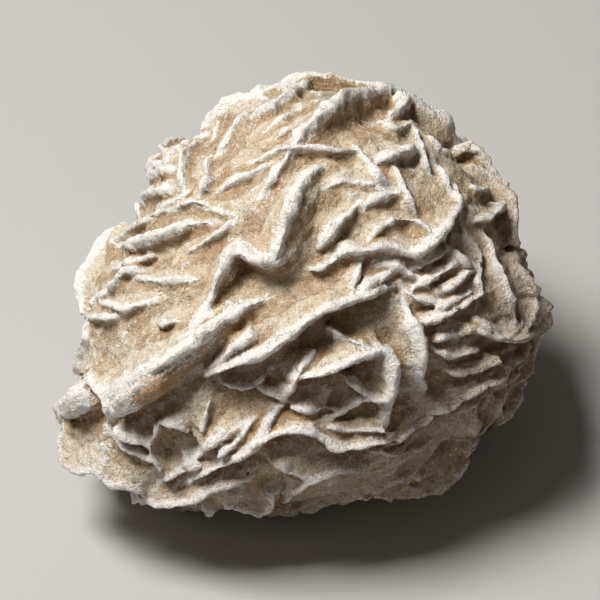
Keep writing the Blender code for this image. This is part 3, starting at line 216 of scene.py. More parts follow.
# How white a rim is worn: white grains start at about 0, and it is all white a little higher.
WORN_WHITE = (-0.27, 1.18)  # away from a rim and on it
WORN_SHARP = (0.0, 0.3)
WORN_SHARP_MORE = 0.5
WORN_WANDER = ((Pattern(1.5, 5.0, 0.65), 0.8), (Pattern(8.0, 2.0), 1.1))
WORN_OPEN = (0.25, 0.6)
WORN_ON_SHADED_SIDE = 0.3  # share of the wear on the sheltered side, away from the key light: fewer white grains there, in part painted shade
WORN_GRAINS = 0.75  # most difference between grains
RIM_EDGE = (-0.15, 0.35)
RIM_ON_SHADED_SIDE = 0.6  # share of the white that shows on the sheltered side, away from the key light: in part painted shade
RIB_STRETCH = (1.5, 0.45, 0.45)
RIBS = Pattern(1.0, 5.0, 0.7, (0.25, 0.6))
RIM_DUST = 0.3
CRACK_CELLS = 0.8
CRACK_WIDTH = (0.07, 0.02)
CRACK_PLACES = Pattern(2.4, 3.0, 0.6, (0.56, 0.7))
CRACK_SHARE = 0.7
FIBRE_STRETCH = (0.3, 2.2, 2.2)
FIBRES = Pattern(1.0, 3.0, 0.6, (0.52, 0.66))
FIBRE_SHARE = 0.6

# Relief of the finish, in millimetres.
GRAIN_EDGE = (0.0, 0.75)  # a grain's middle and edge, in its cell
GRAIN_HEIGHT = 0.09
PITS = Pattern(1.1, 5.0, 0.65)
PIT_DEPTH = 0.7
LAYER_STRETCH = (0.25, 1.3, 1.3)
LAYERS = Pattern(1.0, 3.0, 0.6)
LAYER_RELIEF = 0.25
RIB_HEIGHT = 0.07
CRACK_DEPTH = 0.15
SAND_ROUGHNESS = 0.92
RIM_ROUGHNESS = 0.72
SPECULAR = 0.35

# Colours, as linear red, green and blue.
SAND_TAN = (0.56, 0.435, 0.295)
SAND_PALE = (0.64, 0.56, 0.45)
SAND_RED = (0.48, 0.345, 0.22)
DUST = (0.70, 0.64, 0.54)
# Painted shade for the side of the rose away from the key light.
PAINTED_SHADE_SIDE = (0.25, 0.18, 0.115)
# Painted shade, orange-brown, under the flanks and in the recesses.
PAINTED_SHADE_BROWN = (0.34, 0.205, 0.095)
AMBER = (0.46, 0.28, 0.14)
FLECK = (0.19, 0.12, 0.07)
# Painted shade, near-black, in the crevices.
PAINTED_CREVICE_SHADE = (0.07, 0.042, 0.022)
DARK_GRAIN = (0.12, 0.08, 0.055)
BRIGHT_GRAIN = (0.80, 0.74, 0.62)
RIM_GREY = (0.69, 0.665, 0.62)
RIM_WHITE = (0.84, 0.83, 0.80)
RIM_SHADE = (0.36, 0.345, 0.32)
CRACK = (0.16, 0.12, 0.085)

Blade = namedtuple("Blade", "reach rim foot crest depth", defaults=((0.0, 0.0),))
# reach: how far the broad face runs, left of the crest's travel
# rim: thickness of the worn rim
# foot: how far the steep flank leans out, or undercuts where it is negative
# crest: points (u, v, rise), where rise is the crest's height over the core
# depth: where the crest makes the outline, its w at its first and last point

UPPER_LEFT_BLADES = [
    # Lobe and knobs along the upper left edge
    Blade(6, 2.2, -1, [
        (-7.2, 40.8, 0.4), (-9.5, 41.2, 1.4), (-12.5, 41, 2.2), (-15.2, 39.6, 2.6), (-17.4, 36.5, 2.6),
        (-19.6, 33.4, 2.2), (-20.9, 31.5, 1),
    ], (6, -4)),
    Blade(6, 2.2, -0.6, [
        (-20.6, 32.4, 0.5), (-22.4, 31.5, 1.2), (-25.4, 29.5, 1.4), (-28.2, 26.8, 1.2), (-30, 24.7, 0.6),
    ], (0, 3)),
    Blade(4, 3, 0.6, [(-31.9, 20, 2), (-30.6, 20.9, 2.4), (-28.6, 21.1, 1.9), (-26.6, 20.8, 0.7)], (3, 9)),
    Blade(4, 1.8, 0.8, [
        (-30.6, 23.6, 1.2), (-28.2, 25.2, 1.9), (-26.2, 25.5, 1.3), (-24.8, 25.2, 0.5),
    ], (-2, 7)),
    Blade(4, 1.5, 0.6, [
        (-23.6, 21.8, 0.5), (-24.2, 24.4, 1.8), (-24.1, 27.2, 2.2), (-23, 29.6, 2), (-21.3, 31.2, 1.4),
    ]),
    Blade(4, 1.4, 0.6, [(-20.4, 20, 0.4), (-19.4, 22.5, 1.6), (-19.2, 25, 1.9), (-18.5, 27.7, 0.6)]),
    Blade(2.5, 1, 0.4, [(-19.6, 21.6, 0.8), (-18.4, 22.9, 1.2), (-17.2, 23.6, 0.4)]),
    Blade(4, 1, 0.3, [(-17.8, 31.2, 0.4), (-17.2, 33, 1.3), (-16.7, 34.8, 0.5)]),
    # Long parallel blades of the upper left face
    Blade(5.5, 1.6, 0.8, [
        (-16.8, 28.2, 0.4), (-15.4, 31, 1.7), (-14, 33.6, 2), (-12, 35.6, 1.5), (-9.8, 37, 0.5),
    ]),
    Blade(6, 1.9, 1, [
        (-9.3, 36, 0.6), (-7.3, 37.8, 2.2), (-4.5, 39.6, 2.5), (-1.8, 41.3, 2.2), (1.5, 42.7, 1),
    ]),
    Blade(4, 0.9, 0.4, [(-6.4, 33.4, 0.2), (-3.6, 35.7, 0.8), (-0.9, 37.4, 0.3)]),
    Blade(4, 0.8, 0.4, [(-5.2, 31.3, 0.2), (-2.6, 33.4, 0.7), (-0.7, 34.8, 0.3)]),
    Blade(7.5, 3.2, 1.6, [
        (-0.7, 29.8, 1.5), (0.5, 33, 3), (3, 35.8, 4.2), (6, 38.4, 4.6), (9.6, 40.6, 4.4), (14, 41.5, 3.8),
        (18.6, 41.9, 3), (21, 41, 1.2),
    ], (8, 2)),
    # Top edge behind it
    Blade(7.5, 2.4, -0.6, [
        (-9.8, 39.9, 0.4), (-7.5, 41.6, 1.2), (-4, 43, 1.8), (0, 44.1, 2.4), (3.5, 44.7, 2.6),
        (7.5, 44.4, 2.6), (12, 43.4, 2.4), (17, 42.3, 2), (21.5, 41.2, 1.2), (24.5, 38.6, 0.4),
    ], (1, -6)),
    Blade(5, 1.8, -0.4, [
        (-9.6, 26.7, 0.4), (-6.8, 28.3, 1.7), (-4, 29.4, 2.4), (-1, 29.9, 3), (3, 29.9, 2.8), (7, 29.6, 2.4),
        (10.5, 29.6, 2), (12.6, 29.1, 1),
    ]),
    Blade(5, 1.5, 0.8, [
        (-7.6, 20.6, 0.3), (-6, 23, 1.5), (-4.5, 25.3, 2), (-2.8, 27.4, 2.4), (-1.2, 29.2, 2),
    ]),
    Blade(5, 1.3, 0.2, [
        (-16, 21, 0.3), (-14, 22.9, 1.5), (-12, 23.8, 1.9), (-9.5, 24.7, 1.5), (-6.4, 25.8, 0.4),
    ]),
    Blade(4, 1, 0.4, [(-28.2, 17.2, 0.3), (-26, 19, 1.2), (-24, 20.3, 0.4)]),
    Blade(4, 1.1, 0.2, [(-25.5, 17.7, 0.3), (-23, 18.6, 1.5), (-20.8, 18.7, 1.5), (-18.6, 18.1, 0.4)]),
    Blade(4, 1, 0.3, [(-19.8, 17.4, 0.3), (-17, 17.1, 1.1), (-14, 16.3, 0.3)]),
    Blade(4, 1.4, 0.3, [
        (-38, 11, 0.7), (-34.6, 13.4, 1.6), (-31, 15.3, 1.7), (-28, 16.7, 1), (-25, 17.3, 0.3),
    ]),
    Blade(4.5, 2.2, 0.8, [
        (-37.2, 9.9, 1.4), (-34, 10.8, 3.2), (-30, 11.9, 3.5), (-26.5, 13, 3), (-23, 14.2, 2.4),
        (-20, 14.8, 1.6), (-17.3, 14.8, 0.5),
    ]),
    Blade(5, 1.3, 0.3, [
        (-22.7, 8.4, 0.3), (-20.5, 10.2, 1.3), (-18, 11.7, 1.8), (-15.4, 13.3, 1.4), (-13.8, 14.2, 0.4),
    ]),
]

LEFT_BLADES = [
    # Rim of the big left lobe, and the blades behind it
    Blade(5, 2.2, -0.5, [
        (-34.2, 14.3, 0.8), (-37.5, 13.7, 1.8), (-40.2, 11.7, 2.2), (-42.6, 8.3, 2.4), (-44.7, 5.2, 2.6),
        (-45.6, 2, 2.6), (-45.1, -1.2, 2), (-44, -3.8, 1),
    ], (-5, 7)),
    Blade(4, 1.1, 0.2, [(-37.6, 5.2, 0.5), (-35, 6.6, 1.3), (-32, 7.3, 1.1), (-29.3, 7.9, 0.3)]),
    Blade(4, 1.6, 0.5, [
        (-41.2, -0.8, 0.7), (-38.8, 1.6, 2.3), (-36.9, 4.2, 2.8), (-34.8, 5.2, 2.3), (-32.3, 4.9, 0.6),
    ]),
    Blade(4, 1.2, 0.2, [(-32.8, 3.4, 0.4), (-29.5, 2.9, 1.5), (-26, 2.9, 1.5), (-22.2, 3.2, 0.4)]),
    Blade(4.5, 1.5, 0.2, [
        (-40.6, -1.4, 0.8), (-38.3, -2.3, 2.3), (-36, -3, 2.1), (-33.5, -2.4, 1.4), (-29.8, -1.1, 0.4),
    ]),
    Blade(4, 1.4, -0.5, [(-43.8, -4.1, 1.4), (-41, -4.6, 2.5), (-38.6, -4.8, 2.5), (-36, -4.3, 0.9)]),
    Blade(2.5, 0.9, 0.3, [(-43, -4, 0.4), (-42.1, -1.5, 1.1), (-41.2, 0.4, 0.4)]),
    Blade(4, 1.8, 0, [
        (-43.8, -6.2, 0.8), (-44.1, -8.6, 1.8), (-45.1, -11.2, 2.2), (-45.7, -13.6, 2.2), (-45.2, -15.9, 1),
    ], (8, -2)),
    Blade(4, 1, 0.2, [(-28.4, -6.2, 0.2), (-26.2, -5.5, 0.9), (-24.2, -5, 0.3)]),
    Blade(3, 1, 0.3, [(-24.2, -9, 0.2), (-22.2, -7.2, 0.9), (-20.2, -5.6, 0.7), (-18, -4, 0.2)]),
    # Thick end at the far left, and the rim that runs down from it
    Blade(7.5, 6.4, 3, [
        (-48.6, -25.2, 3.6), (-49, -23.4, 5.2), (-47.2, -21.2, 5.6), (-44.8, -19.2, 4.6), (-42.2, -17.2, 1.8),
    ], (0, 15)),
    Blade(5.5, 1.5, -0.8, [
        (-43.6, -16.4, 2.4), (-42, -18.4, 3.4), (-40.5, -20.7, 3.6), (-39.6, -23, 3.2), (-39, -25.4, 1.8),
    ], (15, 18)),
]

CENTRE_BLADES = [
    # Crown: a steep blade, a broad link and the long straight blade that stands over the face
    Blade(9, 2, -0.2, [
        (-20.2, -5.6, 0.5), (-18.6, -2.3, 2.4), (-17.3, 0.8, 3.6), (-16.2, 4, 4.4), (-14.7, 6.8, 4.9),
        (-14, 8.6, 4.8), (-14.4, 10.6, 2.6),
    ]),
    Blade(7.5, 2.6, -0.4, [
        (-14.3, 10.4, 2.4), (-12.3, 8.8, 4.2), (-10.5, 7.4, 4.8), (-8.3, 6.4, 5), (-6.2, 6.4, 5),
        (-4.6, 6.9, 4.2),
    ]),
    Blade(9, 2.6, 3.4, [
        (-5.8, 6, 4.2), (-4.4, 9.5, 5.8), (-3.1, 13, 5.9), (-1.9, 16.5, 5.5), (-0.6, 20, 4.8), (1, 23.2, 3.4),
        (2.8, 25, 1.6), (4.6, 25.7, 0.5),
    ]),
    Blade(4, 1, 0.2, [(6, 21.8, 0.2), (9, 23, 0.9), (12, 22.8, 0.9), (15, 22, 0.3)]),
    Blade(5, 1.7, 0.7, [
        (3.6, 9, 0.4), (5.5, 11.2, 2), (7.3, 13.3, 2.6), (9, 15.2, 2.4), (10.7, 16.8, 1.6), (12.2, 18.5, 0.5),
    ]),
    Blade(4.5, 1.4, 0.3, [
        (13.2, 17.4, 0.4), (15, 18.8, 1.6), (17, 19.8, 1.8), (19.5, 20.4, 1), (21, 20.6, 0.3),
    ]),
    Blade(4, 1.3, 0.2, [(1.6, 4.5, 0.4), (3.6, 4.9, 1.4), (5.3, 5.6, 1.4), (7.6, 7.2, 0.7)]),
    # Crescent that sweeps up to the right, with the arcs inside it
    Blade(6, 2, 1.2, [
        (7.5, 7.6, 0.7), (10, 8.6, 2.9), (13, 8.7, 3.5), (16.5, 9.3, 3), (19.5, 9.2, 2.9), (22.5, 8.4, 3.2),
        (25, 8.7, 3.7), (27.3, 10.5, 4.1), (29.5, 12.8, 4.1), (31.2, 15.2, 3.2), (32.4, 17.4, 1.4),
    ]),
    Blade(4, 1.2, 0.2, [
        (14.3, 11.6, 0.3), (16.8, 13.8, 1.5), (19.3, 15.2, 1.7), (22, 15.1, 1.5), (24.5, 14.4, 1),
        (26.6, 13.5, 0.3),
    ]),
    Blade(4, 1.2, 0.3, [(32.9, 17.2, 1), (32.4, 19.5, 1.7), (31.8, 21.3, 1.3), (30.7, 22.9, 0.4)]),
    Blade(4, 1.1, 0.2, [(10.9, 1.6, 0.3), (11.6, 3.8, 1.3), (12.3, 6, 1.2), (12.7, 7.6, 0.4)]),
    Blade(3, 2, 0.2, [(13.5, 1.3, 0.7), (15.5, 2.8, 2), (17.8, 4, 1.4), (19.7, 5.1, 0.5)]),
]

UPPER_RIGHT_BLADES = [
    Blade(5, 1.1, 0.5, [
        (23.6, 16.4, 0.3), (22.4, 19.3, 1.4), (21.3, 22, 1.8), (20.2, 24.6, 1.4), (19.2, 26.2, 0.4),
    ]),
    Blade(4, 1.4, 0.8, [
        (26.5, 24.6, 0.4), (25.8, 27.3, 1.7), (25.3, 29.8, 2.1), (24.3, 32.2, 1.9), (23, 34.2, 0.7),
    ]),
    Blade(4, 1.3, 0.4, [(30.8, 20, 0.5), (30.1, 23, 1.6), (29.2, 25.3, 1.7), (27.5, 26.8, 0.5)]),
    Blade(4, 1.4, 0.3, [
        (17.6, 22.6, 0.4), (16, 24.6, 1.6), (14.3, 26.8, 1.8), (12.6, 28.8, 1.6), (11.4, 30.2, 0.5),
    ]),
    Blade(5, 2.6, 0, [
        (15.7, 26.7, 0.5), (18, 27.7, 2.2), (20.5, 28.7, 2.7), (22.8, 29.3, 2.2), (24.5, 29.4, 0.7),
    ]),
    Blade(4, 2.8, 0.2, [(18, 35.8, 0.7), (19.8, 37.8, 2.6), (21.6, 39, 3), (23.2, 40.1, 2)]),
    Blade(3, 1.4, 0, [(15.8, 34.9, 0.4), (18.3, 34.4, 1.7), (20.5, 34, 1.7), (22.7, 34.2, 0.5)]),
    Blade(6, 2, -0.5, [
        (33.6, 29, 0.5), (32, 31.4, 1.2), (31, 33.5, 1.8), (29.8, 36, 2), (27.5, 37.8, 2.2), (25, 38.9, 2.2),
        (22.4, 40.3, 1.6), (19.5, 40.8, 0.4),
    ], (-4, 6)),
    Blade(3, 2.2, 0, [(30.3, 28.8, 0.5), (32, 30.4, 2.3), (33.8, 31.4, 3), (35.1, 30.9, 2.2)]),
    Blade(3, 1.1, 0.4, [(31.2, 27, 0.4), (29, 29.2, 1.3), (27.3, 30.9, 1.4), (25.3, 32.2, 0.4)]),
    # Open ring of a small blade at the right edge
    Blade(4, 1.7, 0.8, [
        (35.1, 14.7, 0.7), (38, 15.4, 2.3), (40.2, 16.9, 2.8), (41.4, 19, 2.5), (41, 21.2, 2.3),
        (39.4, 23.8, 2.2), (37.2, 25.5, 1.8), (34.3, 26.5, 0.5),
    ]),
    Blade(2.5, 1.3, 0.2, [(34.1, 22.3, 0.3), (36, 21.5, 1.5), (38.2, 20.5, 0.5)]),
    Blade(5, 2, -0.3, [
        (44.3, 9.6, 1.2), (44, 13.5, 1.8), (43.9, 16.5, 2), (42.8, 19.8, 2), (41.5, 21.8, 2), (39.6, 25, 2.2),
        (37.6, 28, 2.2), (35.2, 30.4, 1.6), (32.6, 31.6, 0.4),
    ], (7, -6)),
]

RIGHT_BLADES = [
    # Onion-like shells that wrap the right edge
    Blade(4, 1.6, 0.7, [
        (43.7, -8.3, 0.7), (43.6, -5, 2.2), (43.2, -2, 2.5), (42.3, 1.2, 2.5), (41.3, 4, 2.5), (40, 6.6, 2.2),
        (38.9, 9.5, 1.5), (37.2, 12.2, 0.5),
    ]),
    Blade(4, 2.3, 0.5, [
        (43.6, -8.5, 1.4), (45.5, -7.3, 3.2), (47.3, -5, 3.6), (48, -2, 3.6), (47.5, 1, 3.4), (46, 4, 3.1),
        (44.3, 6.8, 2.2), (42.5, 9, 1), (41.3, 10.7, 0.4),
    ]),
    Blade(4, 2.5, -0.3, [
        (46.8, -12.2, 0.6), (49.2, -8.2, 2), (50, -4.5, 2.6), (49.8, -2, 2.6), (48.6, 0.5, 2.6),
        (47, 3.2, 2.4), (45.2, 6, 2), (44.4, 9, 1),
    ], (-6, 5)),
    Blade(3, 1.2, 0.2, [
        (36.9, 0, 1.2), (36.6, 2.5, 1.5), (36.9, 5, 1.5), (36.6, 7.3, 1.1), (35.5, 9.2, 0.3),
    ]),
    Blade(4, 1.7, 0, [
        (25, -6.3, 1), (27.5, -5.3, 2.3), (30, -4.3, 2.8), (32.5, -2.8, 2.8), (35, -1.2, 2.3),
        (37.2, 0.3, 1.1),
    ]),
    Blade(3, 1.3, 0.2, [(28.4, -3, 0.3), (30.5, -1.7, 1.5), (32.5, -0.5, 1.5), (34.8, 0.9, 0.4)]),
    Blade(3, 1.7, 0.2, [(29, 0.6, 0.4), (31, 2, 1.9), (33, 3.7, 1.9), (35.5, 5.5, 0.7)]),
    Blade(3, 1.5, 0.2, [
        (22.8, 1.3, 0.4), (25.5, 2.6, 1.4), (28, 4.2, 1.9), (30, 5.5, 1.6), (31.5, 6.5, 0.4),
    ]),
    Blade(3, 1.1, 0.2, [(23.3, 5.4, 0.4), (26, 6.8, 1.4), (28.3, 8.2, 1.4), (30.2, 9.7, 0.4)]),
    Blade(3, 1.2, 0.3, [(35.2, 5.3, 0.4), (33.3, 7, 1.4), (31.7, 8.3, 1.4), (30.2, 9.9, 0.4)]),
    Blade(3, 1.3, 0.2, [(21.3, 0.9, 0.4), (23.5, -0.5, 1.4), (25.5, -1.3, 1.4), (27.7, -1.7, 0.4)]),
    Blade(4, 1.5, 0.2, [(16.6, 5.8, 0.4), (19, 6, 1.5), (21.3, 4.8, 1.6), (23, 3.5, 1.1), (24.7, 2.2, 0.3)]),
    # Thick upright blade, and what lies to its right
    Blade(5.5, 2.4, 0.7, [
        (25.3, -19, 1), (25, -16.5, 3.5), (25.3, -13.5, 4.2), (25.2, -11, 4.2), (24.8, -8.5, 4),
        (23.7, -6, 3.4), (22.5, -3.6, 2.2), (21.5, -1.1, 0.6),
    ]),
    Blade(3, 1.1, 0.2, [(26.8, -9.6, 0.4), (28.8, -9, 1.4), (31.2, -8.3, 0.5)]),
    Blade(3, 1.1, -0.2, [
        (26.8, -11.4, 0.5), (29, -12.3, 1.5), (31, -12.6, 1.5), (33.5, -11.8, 1.1), (36.2, -10.9, 0.4),
    ]),
    Blade(3, 1.5, 0, [(34.8, -4.8, 0.5), (36.8, -5.9, 1.8), (39, -7.3, 1.5)]),
    Blade(5, 1.7, -1.2, [
        (32, -8.1, 0.5), (34.5, -7.3, 1.8), (36.8, -7.6, 3), (39, -8.4, 3.8), (42, -9.3, 4.2),
        (45, -8.8, 4.2), (48, -7.4, 3.6),
    ]),
]

LOWER_CENTRE_BLADES = [
    # The big blade with its thick, blunt end, and the second long blade
    Blade(11, 3.2, 3, [
        (-38.4, -20.3, 3.6), (-36, -18.8, 5.6), (-32.5, -16.7, 7), (-29, -14.6, 7.5), (-25.5, -12.4, 7.4),
        (-22, -9.9, 6.8), (-19, -7.8, 6), (-16, -6, 5), (-12.8, -3.9, 3.8), (-10, -2.2, 2.4),
        (-7.6, -0.9, 0.8),
    ]),
    Blade(5, 5.8, 0.4, [
        (-38, -23.6, 4.6), (-35.6, -21.6, 6.6), (-32.6, -19.2, 7.2), (-29.4, -16.8, 7), (-25.8, -14.2, 6),
        (-22, -11.6, 4.2),
    ]),
    Blade(9, 2.3, -0.6, [
        (-19.2, -16.5, 1), (-16, -15.7, 4), (-12.5, -14.1, 5.6), (-9, -12.7, 6.1), (-5.8, -11, 6.1),
        (-2.8, -8.8, 6), (0, -6.8, 6), (2.3, -4.9, 6), (5, -3.6, 5.6), (8.5, -2.4, 5), (12, -0.9, 4.2),
        (15, 0.2, 3.2), (17.7, 1.3, 1.5),
    ]),
    Blade(4, 2.2, 0.5, [
        (-19.5, -15.5, 0.8), (-17, -13.8, 2.4), (-14.5, -11.9, 3.4), (-12, -10, 3.2), (-9.3, -8.2, 1.2),
    ]),
    Blade(5, 1.5, 0.8, [
        (14.9, -11.4, 2.4), (12.3, -10.2, 2.9), (10, -9.1, 2.9), (7.8, -7.7, 2.4), (5.6, -6.2, 1.3),
    ]),
    # Three-sided pocket
    Blade(5, 1.5, 0, [
        (-3.7, -21.2, 0.8), (-1.8, -19.4, 3), (-0.7, -17.3, 4.6), (0.2, -15.4, 4.2), (1.4, -13.2, 2.5),
        (2.8, -11, 0.8),
    ]),
    Blade(6, 2.1, -1, [
        (-0.9, -17, 3.4), (2, -16.8, 4.9), (5.5, -16, 5.4), (9, -14.7, 5.4), (12.3, -13, 5.2),
        (15, -11.8, 4.8), (17, -11.5, 4.2),
    ]),
    Blade(5, 2.2, 0.4, [
        (17.1, -27.4, 0.8), (18.2, -24.5, 2.9), (19, -21.5, 4.2), (19.3, -18, 4.7), (19.1, -14.8, 4.7),
        (18.2, -12.6, 4.5), (16.5, -11.3, 3.8),
    ]),
    Blade(5, 1.8, -0.5, [
        (8.8, -17, 2.4), (10.8, -18.6, 3.6), (12.3, -20, 3.8), (14, -21, 3), (15.7, -21.4, 1.4),
    ]),
    Blade(4, 1.4, -0.8, [
        (6.6, -24.6, 0.8), (8.8, -23.7, 2.1), (11, -22.5, 2.9), (13, -21.6, 3.1), (15.5, -21.6, 2.9),
        (18.2, -22, 2),
    ]),
    # Thin rims in the shadow under them
    Blade(4, 1.4, 0, [
        (-15.6, -17.9, 0.9), (-13, -19, 2), (-10.5, -19, 2.2), (-8.3, -17.9, 2), (-6.9, -16.4, 0.9),
    ]),
    Blade(5, 1, -0.3, [(-8.5, -18.8, 0.7), (-6.5, -20, 1.9), (-4.5, -20.9, 2.1), (-2.6, -21.4, 0.9)]),
    Blade(4, 1, -0.5, [
        (-2.2, -22.7, 0.9), (0.5, -23.4, 2.1), (2.8, -23.7, 2.1), (5, -23.3, 1.8), (7.2, -23.3, 0.7),
    ]),
    Blade(3, 1.1, 0, [
        (5.8, -26.6, 0.5), (8.5, -27.2, 1.6), (11.5, -27.5, 1.7), (14.5, -27.9, 1.6), (17.2, -27.9, 0.7),
    ]),
    Blade(4, 0.9, 0.3, [(-19.6, -27.7, 0.4), (-18.8, -25, 1.2), (-18.2, -22, 1.2), (-17.7, -20.3, 0.4)]),
]

LOWER_LEFT_BLADES = [
    # Long S-shaped rim with the blades that rise from it
    Blade(6, 1.4, -1.5, [
        (-24.2, -39, 1), (-21, -37.2, 2.9), (-17.5, -35.5, 3.6), (-14, -34, 3.9), (-11, -32.4, 4.2),
        (-8.5, -30.3, 4.4), (-6, -29.1, 4.4), (-2.5, -28.4, 4.4), (1, -28, 4.4), (3.3, -28.8, 4.4),
        (5.3, -30.3, 4.7), (8, -31.3, 5), (11.5, -30.9, 4.7), (15, -30.2, 4.2), (18, -29.7, 3),
        (20.2, -29.1, 1.2),
    ]),
    Blade(4, 1.4, 0.3, [
        (-7.8, -29.6, 3.6), (-7, -27.2, 3.7), (-6, -25, 3.1), (-4.8, -23.4, 1.9), (-3.4, -21.8, 0.6),
    ]),
    Blade(3, 1.1, 0.3, [
        (-16.7, -33.2, 0.8), (-14, -31, 2.2), (-11.8, -28.8, 2.7), (-10.2, -26.6, 2.4), (-8.7, -24.4, 1),
    ]),
    Blade(6, 1.5, 0, [
        (-23.5, -35, 0.8), (-20.8, -33.3, 2.4), (-18.3, -31.2, 3.2), (-16, -29.2, 3.2), (-13.8, -27.6, 2.7),
        (-11.5, -26.1, 1),
    ]),
    Blade(4, 1.2, 0, [(-29.8, -38.4, 0.5), (-26.5, -37.3, 1.6), (-23.8, -36, 1.8), (-20.8, -34.8, 0.7)]),
    # Small open box and the stacked shells beside it
    Blade(4.5, 1.5, -0.2, [
        (-27.8, -35.8, 0.7), (-29.3, -33.3, 2.8), (-30.1, -31, 3.6), (-29.4, -28.8, 3.6), (-28.9, -27.3, 2.9),
        (-29.6, -26, 1),
    ]),
    Blade(4, 1.1, -0.8, [
        (-28.5, -25.9, 1.6), (-26.5, -26.4, 3), (-24.5, -27, 3), (-22.3, -27.9, 1.8), (-20.8, -28.4, 0.5),
    ]),
    Blade(2.5, 1, -0.4, [
        (-38.2, -23.8, 1.4), (-39, -26, 2.2), (-38, -28.7, 2.6), (-35.8, -30.9, 2.8), (-33.5, -32, 2.9),
        (-31.3, -32.9, 2.1), (-29.8, -33.7, 0.8),
    ]),
    Blade(3, 1.4, -0.6, [
        (-37.8, -26.6, 2.4), (-36.5, -28.5, 3.6), (-34.3, -29.8, 4), (-31.8, -30.5, 3.6), (-30.1, -31.1, 1.6),
    ]),
    # Broad plates of the lower left, seen on their faces
    Blade(15, 1.4, -3.5, [
        (-47.6, -25.6, 2), (-48.9, -28.5, 5), (-48.8, -31.2, 6), (-47.8, -34, 6.5), (-45.5, -35.8, 6.5),
        (-42, -36.2, 6), (-39.7, -37.8, 6), (-36.5, -39, 5.5), (-33.5, -39.8, 5), (-31, -40.4, 3),
    ], (6, 6)),
    Blade(7.5, 1.2, -2.5, [
        (-33.6, -42.1, 4.5), (-30.5, -42.4, 5.5), (-27.5, -42.7, 5.5), (-24, -42.3, 5), (-20.5, -41.3, 4.6),
        (-17.5, -40.1, 4.2), (-14.5, -38.8, 3.6), (-11.5, -37.9, 2.6), (-8.5, -37, 1),
    ], (7, 12)),
    Blade(7.5, 1.1, -1.5, [
        (-20, -42.8, 2), (-18.4, -44, 3.5), (-15, -43.4, 3.8), (-11.5, -43.9, 4), (-8.2, -44.4, 4.4),
        (-5.8, -43.2, 4.2), (-5, -41.3, 3.6), (-4.6, -39.2, 1.2),
    ], (-3, 6)),
]

LOWER_RIGHT_BLADES = [
    Blade(6, 1.1, -1.2, [
        (-3.1, -41.8, 2.2), (-1.3, -40.6, 3.4), (0.5, -39.2, 3.7), (2.5, -38, 3.9), (5, -37.3, 3.9),
        (7.8, -36.5, 3.6), (10.5, -35.7, 2.8), (13.7, -34.5, 1.2),
    ]),
    Blade(7.5, 0.9, -0.8, [
        (-7.2, -33.4, 0.9), (-4.5, -34.8, 2.8), (-2, -36.2, 3.3), (0.3, -37.3, 3.3), (2.1, -38, 2.2),
    ]),
    Blade(6, 1.3, -1.2, [
        (-6.2, -44.1, 2.6), (-2, -44.1, 3.2), (2, -43.7, 3.2), (5, -42.8, 3), (8, -41.6, 2.4),
        (10.8, -40.9, 1.4), (14, -38.8, 0.4),
    ], (-6, 4)),
    Blade(4, 0.9, -0.6, [
        (13.8, -31.7, 0.7), (17, -32.4, 2.3), (19.8, -32.6, 2.6), (22.3, -31.7, 2.3), (24.7, -30.4, 1.4),
        (26.2, -28.8, 0.4),
    ]),
    Blade(5.5, 1, -0.8, [
        (11.2, -40.4, 1.8), (15, -39.8, 2.8), (17.8, -38.7, 2.9), (20, -37.6, 2.8), (22.7, -37, 2.7),
        (25, -36, 2.2), (27.2, -34.8, 0.7),
    ]),
    Blade(9, 1.7, -1.5, [
        (9.5, -39.6, 0.5), (13.5, -41.2, 1.6), (19, -41, 2.4), (24, -40.5, 3.2), (27.7, -40.1, 4),
        (30.5, -38.7, 4.4), (32.7, -36.2, 4.4), (34.2, -33.8, 4.2), (34.9, -31.2, 3.6), (35.2, -29, 3.6),
        (35.2, -26.5, 3.6), (35.3, -24, 3.4), (36.2, -21.5, 2.8), (36.9, -19.5, 1.4),
    ], (5, 0)),
    Blade(5, 1, -0.8, [
        (17.8, -30.4, 1), (20.3, -29.6, 2.4), (22.3, -28.2, 2.9), (24.2, -26.9, 2.9), (25.8, -26, 2.6),
        (26.7, -24, 1.4),
    ]),
    # Layer on layer down the right side
    Blade(5, 0.9, -0.5, [
        (28.3, -15.2, 0.7), (30.5, -16, 2.1), (33, -16.3, 2.4), (35.5, -15.8, 2.4), (38, -14.8, 2),
        (40.7, -13.6, 0.7),
    ]),
    Blade(7, 1.2, -1.2, [
        (25.6, -24.2, 1.2), (28.5, -23.9, 3.1), (30.7, -23.3, 3.6), (33, -21.8, 3.7), (35.3, -20, 3.7),
        (38, -18.6, 3.7), (41, -16.9, 3.7), (43.5, -14.8, 3.6), (45.3, -12, 3), (46.4, -9.6, 1.6),
    ]),
    Blade(5, 1, -0.6, [
        (35.8, -27.7, 1.6), (38, -26, 3), (39.6, -24.2, 3.5), (40.6, -22.3, 3.5), (42, -19.8, 3.1),
        (43, -17, 2.6), (43.8, -14.4, 1.2),
    ]),
    Blade(4.5, 1.3, -0.5, [
        (33, -31.6, 0.6), (36, -29.6, 1.8), (39.2, -26.8, 2.4), (42.4, -23.8, 2.6), (44.2, -21.5, 2.6),
        (45.4, -18.5, 2.6), (46.3, -15.5, 2.6), (47.1, -12.8, 2.4), (48.3, -9.7, 1.8), (48.6, -6, 0.5),
    ], (6, -6)),
]

BLADES = (
    UPPER_LEFT_BLADES + LEFT_BLADES + CENTRE_BLADES + UPPER_RIGHT_BLADES + RIGHT_BLADES
    + LOWER_CENTRE_BLADES + LOWER_LEFT_BLADES + LOWER_RIGHT_BLADES
)

